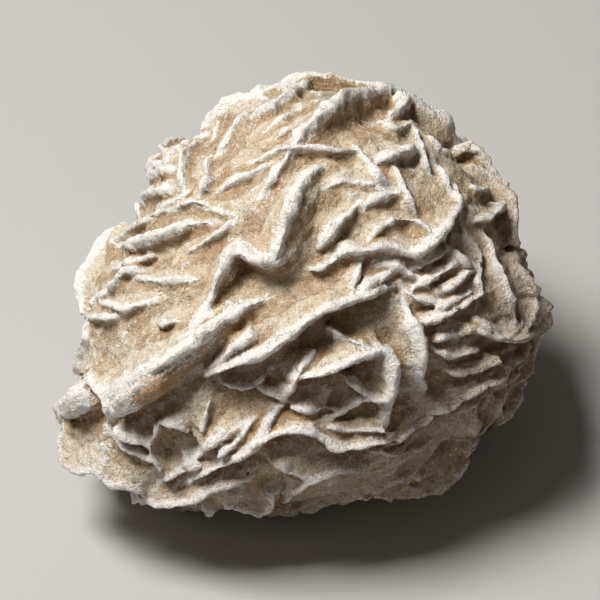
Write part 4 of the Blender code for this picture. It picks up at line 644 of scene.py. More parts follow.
# The back grows the same kinds of blade, scattered: longest first, so that smaller ones fill in between.
BACK_SEED = 11
BACK_EDGE = 5.0  # the back's blades reach this far over to the front
BACK_TRIES = 2500
BACK_TURN_DEG = 40  # most turn of a back blade away from the flow
BACK_BOW = 0.25  # most bow of a back blade, as a share of its length
BACK_WAVE = 0.1  # most S bend, likewise
BACK_STATIONS = (-0.5, -0.34, -0.12, 0.12, 0.34, 0.5)  # shares of a back blade's length
BACK_FOOT = (-1.2, 1.2)
FLOW_WAVES = ((2.3, 1.1), (1.9, -0.4), (2.7, 0.7))  # rates and starts of the turns of the flow
EDGE_RISE = 2.0  # most height of a back blade at the outline
EDGE_RISE_SLOPE = 0.3  # and how much more it may have for each millimetre behind it
STACK_GAP = 4.6  # between parallel blades on the back
STACK_SHRINK = 0.8  # height of each parallel blade, as a share of the one before
CREST_CHECK = 2.0  # the back's crests are kept apart at points this far apart

Growth = namedtuple("Growth", "count gap stack length rise rim reach")
# count: how many at most; gap: clear distance to the other crests; stack: most parallel blades beside
# each; the rest are (least, most)
BACK_GROWTHS = (
    Growth(14, 9.0, 2, (28.0, 44.0), (5.0, 7.0), (2.0, 3.2), (9.0, 13.0)),
    Growth(60, 4.6, 1, (15.0, 26.0), (3.2, 4.8), (1.4, 2.2), (5.5, 9.0)),
    Growth(90, 3.0, 0, (8.0, 14.0), (1.8, 3.0), (1.0, 1.6), (3.5, 5.5)),
)


def any_direction(chance):
    return Vector([chance.gauss(0, 1) for _ in range(3)]).normalized()


def back_lumps():
    """Lumps and hollows scattered over the core's back, in the form of CORE_LUMPS."""
    chance = random.Random(BACK_SEED)
    lumps = []
    while len(lumps) < BACK_LUMPS:
        place = any_direction(chance)
        if place.z < BACK_LUMP_EDGE:
            lumps.append((place, chance.uniform(*BACK_LUMP_WIDTHS), chance.uniform(*BACK_LUMP_HEIGHTS)))
    return lumps


LUMPS = [
    (Vector(place).normalized(), math.radians(width), height)
    for place, width, height in (*CORE_LUMPS, *back_lumps())
]


def share_between(value, low, high):
    """How far the value is on its way from low to high, kept from 0 to 1."""
    return min(max((value - low) / (high - low), 0.0), 1.0)


def tree_of(places):
    tree = KDTree(len(places))
    for index, place in enumerate(places):
        tree.insert(place, index)
    tree.balance()
    return tree


def spline(before, start, end, after, part):
    """Catmull-Rom curve between start and end."""
    square = part * part
    cube = square * part
    return 0.5 * (
        2 * start
        + (end - before) * part
        + (2 * before - 5 * start + 4 * end - after) * square
        + (3 * start - before - 3 * end + after) * cube
    )


def outline_radius(angle):
    """Radius of the core seen square to the face."""
    count = len(CORE_OUTLINE)
    place = (angle % math.tau) / math.tau * count
    step = int(place)
    radii = [CORE_OUTLINE[(step + offset) % count] for offset in (-1, 0, 1, 2)]
    return spline(*radii, place - step)


def core_radius(direction):
    """Distance from the core's centre to its surface, in a direction of length 1."""
    across = math.hypot(direction.x, direction.y) / outline_radius(math.atan2(direction.y, direction.x))
    along = abs(direction.z) / (CORE_FRONT_DEPTH if direction.z > 0 else CORE_BACK_DEPTH)
    radius = (across**CORE_FULLNESS + along**CORE_FULLNESS) ** (-1 / CORE_FULLNESS)
    for place, width, height in LUMPS:
        square_of_angle = 2 * (1 - direction.dot(place))  # for a small angle
        radius += height * math.exp(-square_of_angle / width**2)
    return radius


def rise_over_core(point):
    return point.length - core_radius(point.normalized())


def on_core(point, depth=0.0):
    """The point moved straight in or out to lie this deep under the core's surface."""
    direction = point.normalized()
    return direction * (core_radius(direction) - depth)


def core_normal(point):
    surface = on_core(point)
    slope = [
        rise_over_core(surface + axis * NORMAL_STEP) - rise_over_core(surface - axis * NORMAL_STEP)
        for axis in (Vector((1, 0, 0)), Vector((0, 1, 0)), Vector((0, 0, 1)))
    ]
    return Vector(slope).normalized()


def crest_point(u, v, rise, depth):
    """The front point this high over the core, or the point at this depth if even w = 0 is higher."""
    def at(w):
        narrowing = 1 - w / FACE_FOCUS
        return Vector((u * narrowing, v * narrowing, w))

    low, high = 0.0, 2 * CORE_FRONT_DEPTH
    if rise_over_core(at(low)) > rise:
        return at(depth)
    while high - low > MM:
        middle = (low + high) / 2
        if rise_over_core(at(middle)) > rise:
            high = middle
        else:
            low = middle
    return at(low)


def smooth_curve(points, spacing):
    """The points joined by a smooth curve, with its own points about this far apart."""
    first = points[0] * 2 - points[1]
    last = points[-1] * 2 - points[-2]
    padded = [first, *points, last]
    curve = []
    for index in range(len(points) - 1):
        steps = max(1, round((points[index + 1] - points[index]).length / spacing))
        curve += [spline(*padded[index : index + 4], step / steps) for step in range(steps)]
    return [*curve, points[-1]]


Station = namedtuple("Station", "place travel up left rise swell along")
# place: on the crest; travel, up and left: the crest's axes there; rise: its height over the core;
# swell: the blade's size there, as a share of its full size; along: the way from the crest's start


def stations_of(crest_points):
    """The places along a crest at which a blade has its sections."""
    curve = smooth_curve(crest_points, STATION_SPACING)
    rises = [max(rise_over_core(point), 0.0) for point in curve]
    highest = max(rises)
    along = 0.0
    stations = []
    for index, (point, rise) in enumerate(zip(curve, rises)):
        before = curve[max(index - 1, 0)]
        travel = (curve[min(index + 1, len(curve) - 1)] - before).normalized()
        up = core_normal(point)
        up = (up - travel * up.dot(travel)).normalized()
        along += (point - before).length
        uneven = noise.noise(point / UNEVEN_WAVELENGTH)
        swell = max(END_SWELL, math.sqrt(rise / highest)) * (1 + UNEVEN_SWELL * uneven)
        place = point + up * (UNEVEN_RISE * uneven)
        stations.append(Station(place, travel, up, up.cross(travel), rise, swell, along))
    return stations


def furrow_tree(grown):
    """Places along the furrows in the core beside the taller crests, and the furrow's depth at each."""
    middles = []
    for blade, stations in grown:
        for station in stations:
            if station.rise > FURROW_RISE:
                aside = blade.rim / 2 + max(blade.foot, 0.0) + FURROW_ASIDE
                middle = on_core(station.place - station.left * aside)
                middles.append((middle, station.rise * FURROW_SHARE))
    return tree_of([middle for middle, _ in middles]), [depth for _, depth in middles]


def in_ground(point, furrows, depth=0.0):
    """The point moved straight in or out to lie this deep under the furrowed core."""
    tree, depths = furrows
    surface = on_core(point)
    deepest = 0.0
    for _, index, distance in tree.find_range(surface, 2 * FURROW_WIDTH):
        deepest = max(deepest, depths[index] * math.exp(-((distance / FURROW_WIDTH) ** 2)))
    height = (face_to_world() @ surface).z / MM
    return on_core(point, depth + deepest * share_between(height, *FURROW_FLOOR))


def face_share(out):
    """Height of a broad face this far out from its rim, both as shares of the whole."""
    return (1 - out) ** FACE_HOLLOW


def section(station, blade, furrows):
    """One closed section of a blade: foot of the broad face, over the rim, down the flank, root."""
    crest, up, left = station.place, station.up, station.left
    half = blade.rim / 2 * station.swell
    rim_centre = crest - up * half
    rim = []
    for angle in RIM_ANGLES:
        turn = math.radians(angle)
        rim.append(rim_centre + (left * math.sin(turn) + up * math.cos(turn)) * half)
    foot = in_ground(crest + left * (blade.reach * station.swell), furrows, FOOT_DEPTH)
    face = rim[0] - foot
    height = up * face.dot(up)
    run = face - height
    hollow = [foot + run * (1 - out) + height * face_share(out) for out in FACE_PLACES]
    flank = in_ground(crest - left * (half + blade.foot * station.swell), furrows, FOOT_DEPTH)
    root = in_ground(crest, furrows, BLADE_ROOT)
    return [foot, *hollow, *rim, flank, root]


def add_blade(mesh, blade, stations, furrows):
    """Adds one blade's closed loft to the mesh."""
    rings = []
    for station in stations:
        rings.append([mesh.verts.new(place) for place in section(station, blade, furrows)])
    for ring, following in zip(rings, rings[1:]):
        for index in range(len(ring)):
            beside = (index + 1) % len(ring)
            mesh.faces.new((ring[index], ring[beside], following[beside], following[index]))
    for end in (rings[0][::-1], rings[-1]):
        middle = mesh.verts.new(sum((vertex.co for vertex in end), Vector()) / len(end))
        for index in range(len(end)):
            mesh.faces.new((end[index], end[(index + 1) % len(end)], middle))


def crest_points(blade, lifts):
    """Points of a blade's crest, each raised by its lift."""
    start, end = blade.depth
    step = (end - start) / (len(blade.crest) - 1)
    return [
        crest_point(u, v, rise + lift, start + index * step)
        for index, ((u, v, rise), lift) in enumerate(zip(blade.crest, lifts))
    ]


def height_of_face(blade, station, point):
    """Height over the core of the blade's broad face where the point lies beside this station, or 0."""
    offset = point - station.place
    out = offset.dot(station.left) / (blade.reach * station.swell)
    if not 0 < out < 1 or abs(offset.dot(station.travel)) > STATION_SPACING:
        return 0.0
    return station.rise * face_share(out)


def front_crests():
    """(blade, crest points) of every blade of the table: those on a taller blade's face stand on it."""
    low = [(blade, crest_points(blade, [0.0] * len(blade.crest))) for blade in BLADES]
    grown = [(blade, stations_of(points)) for blade, points in low]
    crests = []
    for blade, points in low:
        highest = max(rise for _, _, rise in blade.crest)
        taller = [
            (other, station) for other, stations in grown for station in stations
            if station.rise > TALLER * highest and station.place.z > CARRY_DEPTH
        ]
        lifts = []
        for (_, _, rise), point in zip(blade.crest, points):
            ground = max((height_of_face(*beside, point) for beside in taller), default=0.0)
            lift = max(ground + min(rise, PROUD) - rise, 0.0)
            lifts.append(lift if point.z > CARRY_DEPTH else 0.0)
        crests.append((blade, crest_points(blade, lifts)))
    return crests


def flow(direction):
    """The way the back's blades tend to run: it turns slowly from place to place."""
    parts = (direction.y, direction.z, direction.x)
    turns = [rate * part + start for (rate, start), part in zip(FLOW_WAVES, parts)]
    swirl = Vector((math.sin(turns[0]), math.cos(turns[1]), math.sin(turns[2])))
    return (swirl - direction * swirl.dot(direction)).normalized()


def back_crest(chance, centre, length, rise):
    """Places and heights of a bowed crest through this centre, fading out at both ends, and its side."""
    normal = core_normal(centre)
    turn = math.radians(chance.uniform(-BACK_TURN_DEG, BACK_TURN_DEG))
    heading = Matrix.Rotation(turn, 3, normal) @ flow(centre.normalized())
    aside = normal.cross(heading)
    bow = chance.uniform(-BACK_BOW, BACK_BOW) * length
    wave = chance.uniform(-BACK_WAVE, BACK_WAVE) * length
    crest = []
    for share in BACK_STATIONS:
        height = rise * math.sqrt(1 - abs(2 * share) ** 3)
        bend = bow * (1 - (2 * share) ** 2) + wave * math.sin(math.tau * share)
        crest.append((centre + heading * (share * length) + aside * bend, height))
    return crest, aside


def back_point(place, height):
    """The point this high over the core, or lower near the outline, which the front's blades make."""
    surface = on_core(place)
    most = EDGE_RISE - EDGE_RISE_SLOPE * min(surface.z, 0)
    return on_core(place, -min(height, most))


def back_crests(taken):
    """(blade, crest points) of scattered blades, kept clear of the crest points already taken."""
    chance = random.Random(BACK_SEED)
    grown = []
    for growth in BACK_GROWTHS:
        left_to_grow = growth.count
        for _ in range(BACK_TRIES):
            centre = on_core(any_direction(chance))
            length, rise = chance.uniform(*growth.length), chance.uniform(*growth.rise)
            crest, aside = back_crest(chance, centre, length, rise)
            middle = [back_point(place, height) for place, height in crest[1:-1]]
            if any(point.z > BACK_EDGE for point in middle):
                continue
            if any((point - other).length < growth.gap for point in middle for other in taken):
                continue
            for beside in range(1 + chance.randint(0, growth.stack)):
                shrink = STACK_SHRINK**beside
                shift = aside * (beside * STACK_GAP)
                points = [back_point(place + shift, height * shrink) for place, height in crest]
                reach, rim, foot = (chance.uniform(*span) for span in (growth.reach, growth.rim, BACK_FOOT))
                grown.append((Blade(reach, rim, foot, None), points))
                taken += smooth_curve(points, CREST_CHECK)
            left_to_grow -= 1
            if not left_to_grow:
                break
    return grown


def add_core(mesh, furrows):
    """Adds the core to the mesh: a sphere with each point moved out to the furrowed core's surface."""
    ball = bmesh.ops.create_icosphere(mesh, subdivisions=CORE_SUBDIVISIONS, radius=1.0)
    for vertex in ball["verts"]:
        vertex.co = in_ground(vertex.co, furrows)


def face_to_world():
    """Turns face coordinates into world coordinates, from millimetres to metres."""
    lean = math.radians(FACE_TILT_DEG)
    right = Vector((1, 0, 0))
    up = Vector((0, math.sin(lean), math.cos(lean)))
    out = Vector((0, -math.cos(lean), math.sin(lean)))
    turn = Matrix((right, up, out)).transposed().to_4x4()
    return Matrix.Translation((0, 0, CORE_HEIGHT * MM)) @ turn @ Matrix.Scale(MM, 4)


def new_object(name, mesh, collection):
    data = bpy.data.meshes.new(name)
    mesh.to_mesh(data)
    mesh.free()
    made = bpy.data.objects.new(name, data)
    collection.objects.link(made)
    return made


def apply_modifier(thing, kind, **settings):
    """Replaces the mesh by what one modifier makes of it."""
    modifier = thing.modifiers.new(kind.title(), kind)
    for name, value in settings.items():
        setattr(modifier, name, value)
    made = bpy.data.meshes.new_from_object(thing.evaluated_get(bpy.context.evaluated_depsgraph_get()))
    thing.modifiers.clear()
    spent = thing.data
    thing.data = made
    bpy.data.meshes.remove(spent)


def grown_blades():
    """(blade, stations) of every blade, front and back."""
    crests = front_crests()
    taken = [point for _, points in crests for point in smooth_curve(points, CREST_CHECK)]
    return [(blade, stations_of(points)) for blade, points in crests + back_crests(taken)]


def loose_rose(grown):
    """The core and every blade, overlapping in one mesh, in face coordinates."""
    mesh = bmesh.new()
    furrows = furrow_tree(grown)
    add_core(mesh, furrows)
    for blade, stations in grown:
        add_blade(mesh, blade, stations, furrows)
    bmesh.ops.recalc_face_normals(mesh, faces=mesh.faces)
    return new_object("rose", mesh, bpy.context.scene.collection)


def waver(place):
    """The place moved by smooth noise, which lets straight rims and even faces wander."""
    moved = Vector(place)
    for wavelength, size in WAVER:
        shifts = [noise.noise((place + start) / wavelength) for start in WAVER_STARTS]
        moved += Vector(shifts) * size
    return moved


def read(items, field, width, kind=np.float32):
    """One field of a mesh's items, in rows of this width."""
    values = np.empty(len(items) * width, kind)
    items.foreach_get(field, values)
    return values.reshape(-1, width)


def read_points(mesh):
    return read(mesh.vertices, "co", 3).astype(float)


def read_normals(mesh):
    return read(mesh.vertices, "normal", 3).astype(float)


def read_edges(mesh):
    return read(mesh.edges, "vertices", 2, np.int32)


def write_points(mesh, points):
    mesh.vertices.foreach_set("co", points.astype(np.float32).ravel())
    mesh.update()


def smoothed(values, edges, rounds):
    """Columns of values at each vertex, each time replaced by the mean of its neighbours' values."""
    count = len(values)
    ends = np.concatenate([edges, edges[:, ::-1]])
    neighbours = np.maximum(np.bincount(ends[:, 0], minlength=count), 1)
    for _ in range(rounds):
        columns = [np.bincount(ends[:, 0], column[ends[:, 1]], count) for column in values.T]
        values = (values + np.array(columns).T / neighbours[:, None]) / 2
    return values


def sharpness(mesh, rounds):
    """How far each point stands out of the smoothed surface: more than 0 on a rim, less in a groove."""
    points = read_points(mesh)
    return ((points - smoothed(points, read_edges(mesh), rounds)) * read_normals(mesh)).sum(axis=1)


def ledge(point):
    """Height of overlapping plates, each of which rises slowly towards its edge and drops steeply there."""
    phase = point.dot(LEDGE_SIDE) / LEDGE_STEP + noise.noise(point / LEDGE_WAVELENGTH) * LEDGE_SHIFT
    share = phase - math.floor(phase)
    rise = share / (1 - LEDGE_DROP) if share < 1 - LEDGE_DROP else (1 - share) / LEDGE_DROP
    return (rise - 0.5) * LEDGE_HEIGHT


def relief(point, place, beyond, weathered):
    """Height of the sand, growth layers, plates and crumbly rims at a point with this place by its crest."""
    height = sum(noise.noise(point / wavelength) * size for wavelength, size in SAND_RELIEF)
    along, across = LAYER_STEPS
    layers = noise.noise(Vector((place[0] / along, place[1] / across, place[2] / across)))
    height += layers * LAYER_HEIGHT * math.exp(-max(beyond, 0.0) / LAYER_REACH)
    height += ledge(point) * (1 - weathered) ** 2
    rim = share_between(-beyond, 0.0, 1.0)
    chip = max(noise.noise(point / CHIP_WAVELENGTH) - CHIP_START, 0.0) * CHIP_DEPTH
    crumbs = noise.noise(point / CRUMB_WAVELENGTH) * CRUMB_HEIGHT
    flank = share_between(-place[1], 0.0, DIG_REACH)
    dug = flank * DIG_DEPTH * math.exp(-((max(beyond, 0.0) / DIG_REACH) ** 2))
    return height * (1 - RIM_SMOOTH * rim) + (crumbs - chip) * rim - dug


def cut_flat(rose):
    """Removes what lies under the surface that the rose rests on."""
    side = GROUND_SIDE * MM
    mesh = bmesh.new()
    bmesh.ops.create_cube(mesh, size=side)
    bmesh.ops.translate(mesh, verts=mesh.verts, vec=(0, 0, -side / 2))
    ground = new_object("ground_cutter", mesh, bpy.context.scene.collection)
    apply_modifier(rose, "BOOLEAN", operation="DIFFERENCE", solver="EXACT", object=ground)
    bpy.data.objects.remove(ground)


def weathering(points):
    """From 0 on the sheltered side of the rose to 1 on its weathered side, for points in metres."""
    low, high = WEATHERED_AND_LIT
    return np.clip((points @ np.array(WEATHER_AND_LIGHT_SIDE) / MM - low) / (high - low), 0, 1)


def fill_corners(mesh):
    """Lays sand in the corners between blades, most on the weathered side: only the hollows are smoothed."""
    points = read_points(mesh)
    shares = FILL_SHELTERED + (FILL_SHARE - FILL_SHELTERED) * weathering(points)
    normals = read_normals(mesh)
    rise = ((smoothed(points, read_edges(mesh), FILL_ROUNDS) - points) * normals).sum(axis=1)
    write_points(mesh, points + normals * (np.maximum(rise, 0) * shares)[:, None])


def roughen(rose, grown):
    """Wavers the surface, gives it sandy relief and chips its rims, all of it less near the ground."""
    mesh = rose.data
    back = face_to_world().inverted()
    smooth = read_points(mesh)
    shares = np.clip(smooth[:, 2:] / (MM * RELIEF_FLOOR), 0, 1)
    points = [waver(back @ Vector(point)) for point in smooth]
    places, beyond, _, _ = crest_places(points, grown)
    heights = [relief(*about) for about in zip(points, places, beyond, weathering(smooth))]
    moved = np.array([face_to_world() @ point for point in points]) - smooth
    moved += read_normals(mesh) * np.array(heights)[:, None] * MM
    write_points(mesh, smooth + moved * shares)


def fine_rose(grown):
    """The finely fused, wavered and chipped rose, cut off flat where it rests."""
    rose = loose_rose(grown)
    apply_modifier(rose, "REMESH", mode="VOXEL", voxel_size=FINE_VOXEL)
    apply_modifier(rose, "SMOOTH", iterations=FINE_WEAR_ROUNDS)
    rose.data.transform(face_to_world())
    fill_corners(rose.data)
    cut_flat(rose)
    roughen(rose, grown)
    triangles = sum(len(face.vertices) - 2 for face in rose.data.polygons)
    apply_modifier(rose, "DECIMATE", ratio=FINE_TRIANGLES / triangles, use_collapse_triangulate=True)
    points = read_points(rose.data)
    points[:, 2] = np.maximum(points[:, 2], 0.0)
    write_points(rose.data, points)
    rose.data.polygons.foreach_set("use_smooth", [True] * len(rose.data.polygons))
    return rose


def round_directions(count):
    """Directions spread evenly over the whole sphere."""
    turn = math.pi * (3 - math.sqrt(5))
    directions = []
    for index in range(count):
        height = 1 - 2 * (index + 0.5) / count
        across = math.sqrt(1 - height * height)
        directions.append(Vector((math.cos(turn * index) * across, math.sin(turn * index) * across, height)))
    return directions


def openness(mesh):
    """The share of directions in which each point sees no other part of the rose near by."""
    tree = BVHTree.FromPolygons(
        [vertex.co for vertex in mesh.vertices], [face.vertices[:] for face in mesh.polygons]
    )
    directions = round_directions(RAY_COUNT)
    shares = []
    for vertex in mesh.vertices:
        normal = vertex.normal
        start = vertex.co + normal * (RAY_LIFT * MM)
        clear = total = 0.0
        for direction in directions:
            facing = normal.dot(direction)
            if facing > LEAST_FACING:
                total += facing
                if tree.ray_cast(start, direction, RAY_REACH * MM)[0] is None:
                    clear += facing
        shares.append(clear / total if total else 1.0)
    return np.array(shares)


def crest_frames(grown):
    """A tree of places in the middle of the rims, and the station and rim radius at each."""
    frames = []
    for blade, stations in grown:
        for station in stations:
            radius = blade.rim / 2 * station.swell
            frames.append((waver(station.place - station.up * radius), radius, station))
    return tree_of([middle for middle, _, _ in frames]), frames


def nearest_rim(point, tree, frames):
    """The way beyond the nearest rim, its radius, and the point's (along, left, up) from it."""
    ways = []
    for _, index, _ in tree.find_n(point, NEAR_STATIONS):
        middle, radius, station = frames[index]
        offset = point - middle
        ahead = offset.dot(station.travel)
        aside, above = offset.dot(station.left), offset.dot(station.up)
        beyond = math.hypot(aside, above, max(abs(ahead) - STATION_SPACING, 0.0)) - radius
        ways.append((beyond, radius, (station.along + ahead, aside, above)))
    return min(ways, key=lambda way: way[0])


def rim_white(beyond, radius, place):
    """How white a point this far beyond a rim is: more so towards the broad face, and less on the flank below
    the rim's middle, where shade falls, in part painted shade.
    """
    on_face = share_between(place[1], 0.0, radius)
    spread = min(radius * WHITE_FACE[0], WHITE_FACE[1]) * on_face + WHITE_FLANK * (1 - on_face)
    white = share_between(beyond, spread, -radius * (1 - WHITE_FULL))
    on_flank = share_between(-place[1], 0.0, radius)
    return white * (1 - on_flank * (1 - share_between(place[2] / radius, *FLANK_CUT)))


def crest_places(points, grown):
    """Columns for the points: (along, left, up) from the nearest rim, the way beyond it, white, thick."""
    tree, frames = crest_frames(grown)
    rows = []
    for point in points:
        beyond, radius, place = nearest_rim(point, tree, frames)
        thick = share_between(radius, *THICK) * math.exp(-max(beyond, 0.0) / THICK_REACH)
        rows.append((place, beyond, rim_white(beyond, radius, place), thick))
    return zip(*rows)


def store(mesh, name, kind, values):
    attribute = mesh.attributes.new(name, kind, "POINT")
    field = "value" if kind == "FLOAT" else "vector"
    attribute.data.foreach_set(field, np.asarray(values, np.float32).ravel())


def mark_surface(rose, grown):
    """Stores what the finish reads: crest coordinates, white rims, sharpness and how open each place is."""
    mesh = rose.data
    back = face_to_world().inverted()
    places, _, whites, thicks = crest_places([back @ vertex.co for vertex in mesh.vertices], grown)
    store(mesh, "crest", "FLOAT_VECTOR", places)
    store(mesh, "white", "FLOAT", whites)
    store(mesh, "thick", "FLOAT", thicks)
    store(mesh, "sharp", "FLOAT", sharpness(mesh, SHARP_ROUNDS) / MM)
    store(mesh, "open", "FLOAT", smoothed(openness(mesh)[:, None], read_edges(mesh), 1))


class Paint:
    """Adds nodes to one material, each from its kind, its inputs and its settings."""

    def __init__(self, name):
        self.material = bpy.data.materials.new(name)
        self.material.use_nodes = True
        self.tree = self.material.node_tree
        self.shader = self.tree.nodes["Principled BSDF"]

    def node(self, kind, inputs=(), **settings):
        made = self.tree.nodes.new(kind)
        for name, value in settings.items():
            setattr(made, name, value)
        for name, value in dict(inputs).items():
            self.feed(made.inputs[name], value)
        return made

    def feed(self, socket, value):
        if isinstance(value, bpy.types.NodeSocket):
            self.tree.links.new(value, socket)
        else:
            socket.default_value = value

    def math(self, kind, *values):
        """A Math node of this operation over sockets or numbers."""
        return self.node("ShaderNodeMath", enumerate(values), operation=kind).outputs[0]

    def times(self, product, *factors):
        for factor in factors:
            product = self.math("MULTIPLY", product, factor)
        return product

    def between(self, share, start, end):
        """Goes straight from start to end as the share goes from 0 to 1."""
        return self.math("MULTIPLY_ADD", share, end - start, start)

    def step(self, value, span, start=0.0, end=1.0):
        """Eases from start to end as the value goes through the span."""
        inputs = {"Value": value, "From Min": span[0], "From Max": span[1], "To Min": start, "To Max": end}
        return self.node("ShaderNodeMapRange", inputs, interpolation_type="SMOOTHSTEP").outputs[0]

    def mix(self, share, first, second, blend="MIX"):
        """A colour mix; colours are (red, green, blue) or sockets."""
        made = self.node("ShaderNodeMix", data_type="RGBA", blend_type=blend, clamp_factor=True)
        colours = [(*colour, 1.0) if isinstance(colour, tuple) else colour for colour in (first, second)]
        for index, value in ((0, share), (6, colours[0]), (7, colours[1])):
            self.feed(made.inputs[index], value)
        return made.outputs[2]

    def coats(self, colour, *layers):
        """The colour under layers of (share, colour), the last one on top."""
        for share, layer in layers:
            colour = self.mix(share, colour, layer)
        return colour

    def noise(self, place, pattern):
        """The pattern's noise, from 0 to 1."""
        wavelength, detail, roughness, _ = pattern
        inputs = {"Vector": place, "Scale": 1 / wavelength, "Detail": detail, "Roughness": roughness}
        return self.node("ShaderNodeTexNoise", inputs).outputs["Fac"]

    def spots(self, place, pattern, start=0.0, end=1.0):
        """Start outside the pattern's spots, and end in them."""
        return self.step(self.noise(place, pattern), pattern.span, start, end)

    def wander(self, place, pattern, size):
        """The pattern's noise, from this far below 0 to this far above."""
        return self.between(self.noise(place, pattern), -size, size)

    def cells(self, place, size, feature="F1"):
        inputs = {"Vector": place, "Scale": 1 / size}
        return self.node("ShaderNodeTexVoronoi", inputs, feature=feature).outputs

    def stored(self, name, output="Fac"):
        return self.node("ShaderNodeAttribute", attribute_name=name).outputs[output]

    def scaled(self, vector, factors):
        inputs = {0: vector, 1: factors}
        return self.node("ShaderNodeVectorMath", inputs, operation="MULTIPLY").outputs[0]

    def parts(self, vector):
        return self.node("ShaderNodeSeparateXYZ", {"Vector": vector}).outputs


Surface = namedtuple("Surface", "place crest side along left open sharp white thick weathered shades grain")
# place: in millimetres; crest: the same from the nearest crest's start; side: place to the right; along
# and left: parts of crest; shades: three random values of the grain of sand; grain: how far from its middle


def read_surface(paint):
    """What the finish reads at each point."""
    place = paint.scaled(paint.node("ShaderNodeTexCoord").outputs["Object"], (1 / MM,) * 3)
    crest = paint.stored("crest", "Vector")
    beside = paint.parts(crest)
    weather_and_light = paint.node("ShaderNodeVectorMath", {0: place, 1: WEATHER_AND_LIGHT_SIDE}, operation="DOT_PRODUCT")
    grains = paint.cells(place, GRAIN_SIZE)
    return Surface(
        place, crest, paint.parts(place)["X"], beside["X"], beside["Y"],
        *(paint.stored(name) for name in ("open", "sharp", "white", "thick")),
        paint.step(weather_and_light.outputs["Value"], WEATHERED_AND_LIT),
        paint.node("ShaderNodeSeparateColor", {"Color": grains["Color"]}).outputs,
        grains["Distance"],
    )


def amber_share(paint, surface):
    """How amber the flank of the thickest blade is: painted shade on that flank, in the amber tone of its
    gypsum.
    """
    edge = paint.math("ADD", surface.left, paint.wander(surface.place, AMBER_EDGE, AMBER_WANDER))
    return paint.times(
        paint.step(edge, AMBER_FLANK), paint.step(surface.along, AMBER_ALONG),
        paint.step(surface.side, AMBER_SIDE, 0.0, AMBER_MOST), surface.thick,
    )


def painted_shade_share(paint, surface):
    """How much painted shade, in orange-brown, lies on the sand under the flanks and in the recesses."""
    under_flank = paint.times(*(paint.step(surface.left, span) for span in FLANK_SHADE))
    shaded = paint.math("MULTIPLY_ADD", under_flank, FLANK_SHADE_SHARE, paint.step(surface.open, DEEP_SHADE))
    shaded = paint.times(shaded, paint.spots(surface.place, SHADE_SPOTS, SHADE_LEAST))
    return paint.math("MINIMUM", shaded, SHADE_MOST)


def sand_colour(paint, surface, amber):
    """Grained tan sand in paler and redder patches, browner in the hollows, with painted shade: orange-brown
    under the flanks and in the recesses, near-black in the crevices, darker on the side away from the key
    light.
    """
    place, left = surface.place, surface.left
    pale = paint.math("ADD", paint.noise(place, PATCHES), paint.step(surface.side, PALE_SIDE, 0.0, PALE_MORE))
    red = paint.times(paint.spots(place, BLOTCHES), paint.step(surface.side, PALE_SIDE, *BLOTCH_SHARES))
    apron = paint.times(*(paint.step(left, span) for span in APRON), paint.spots(place, APRON_SPOTS))
    flecks = paint.times(
        paint.spots(paint.scaled(surface.crest, FLECK_STRETCH), FLECKS), paint.spots(place, FLECK_PLACES),
        *(paint.step(left, span) for span in FLECK_FLANK),
    )
    sand = paint.coats(
        paint.mix(paint.step(pale, PATCHES.span), SAND_TAN, SAND_PALE),
        (red, SAND_RED),
        (paint.times(paint.spots(place, DUST_SPOTS), DUST_SHARE), DUST),
        (paint.step(surface.sharp, HOLLOW, 0.0, HOLLOW_SHARE), SAND_RED),
        # Painted shade on the side of the rose away from the key light.
        (paint.between(surface.weathered, PAINTED_SHADE_SIDE_SHARE, 0.0), PAINTED_SHADE_SIDE),
        (paint.times(apron, APRON_SHARE), DUST),
        # Painted shade, orange-brown, under the flanks and in the recesses.
        (painted_shade_share(paint, surface), PAINTED_SHADE_BROWN),
        (paint.times(flecks, FLECK_SHARE), FLECK),
        # Painted shade on the thick blade's flank, in amber.
        (amber, AMBER),
        # Painted shade, near-black, in the crevices.
        (paint.step(surface.open, CREVICE_SHADE_OPEN, 0.0, CREVICE_SHADE_MOST), PAINTED_CREVICE_SHADE),
    )
    value = paint.step(surface.shades[0], WHOLE, *GRAIN_VALUES)
    grey = paint.node("ShaderNodeCombineColor", {index: value for index in range(3)}).outputs[0]
    common = paint.spots(place, GRAIN_CLUSTERS, *GRAIN_RARITY)
    dark, bright = (paint.math("GREATER_THAN", shade, common) for shade in surface.shades[1:3])
    return paint.coats(
        paint.mix(1.0, sand, grey, "MULTIPLY"),
        (paint.times(dark, DARK_SHARE), DARK_GRAIN),
        (paint.times(bright, BRIGHT_SHARE), BRIGHT_GRAIN),
    )


def rim_share(paint, surface, amber):
    """Where the worn white rims show: they end in single white grains, and are fewer on the side away from
    the key light, in part painted shade.
    """
    worn = paint.between(surface.white, *WORN_WHITE)
    worn = paint.math("ADD", worn, paint.step(surface.sharp, WORN_SHARP, 0.0, WORN_SHARP_MORE))
    for pattern, size in WORN_WANDER:
        worn = paint.math("ADD", worn, paint.wander(surface.place, pattern, size))
    worn = paint.times(
        worn, paint.step(surface.open, WORN_OPEN), paint.between(surface.weathered, WORN_ON_SHADED_SIDE, 1.0),
        paint.between(amber, 1.0, 0.0),
    )
    over = paint.math("MULTIPLY_ADD", surface.shades[2], -WORN_GRAINS, worn)
    return paint.times(paint.step(over, RIM_EDGE), paint.between(surface.weathered, RIM_ON_SHADED_SIDE, 1.0))


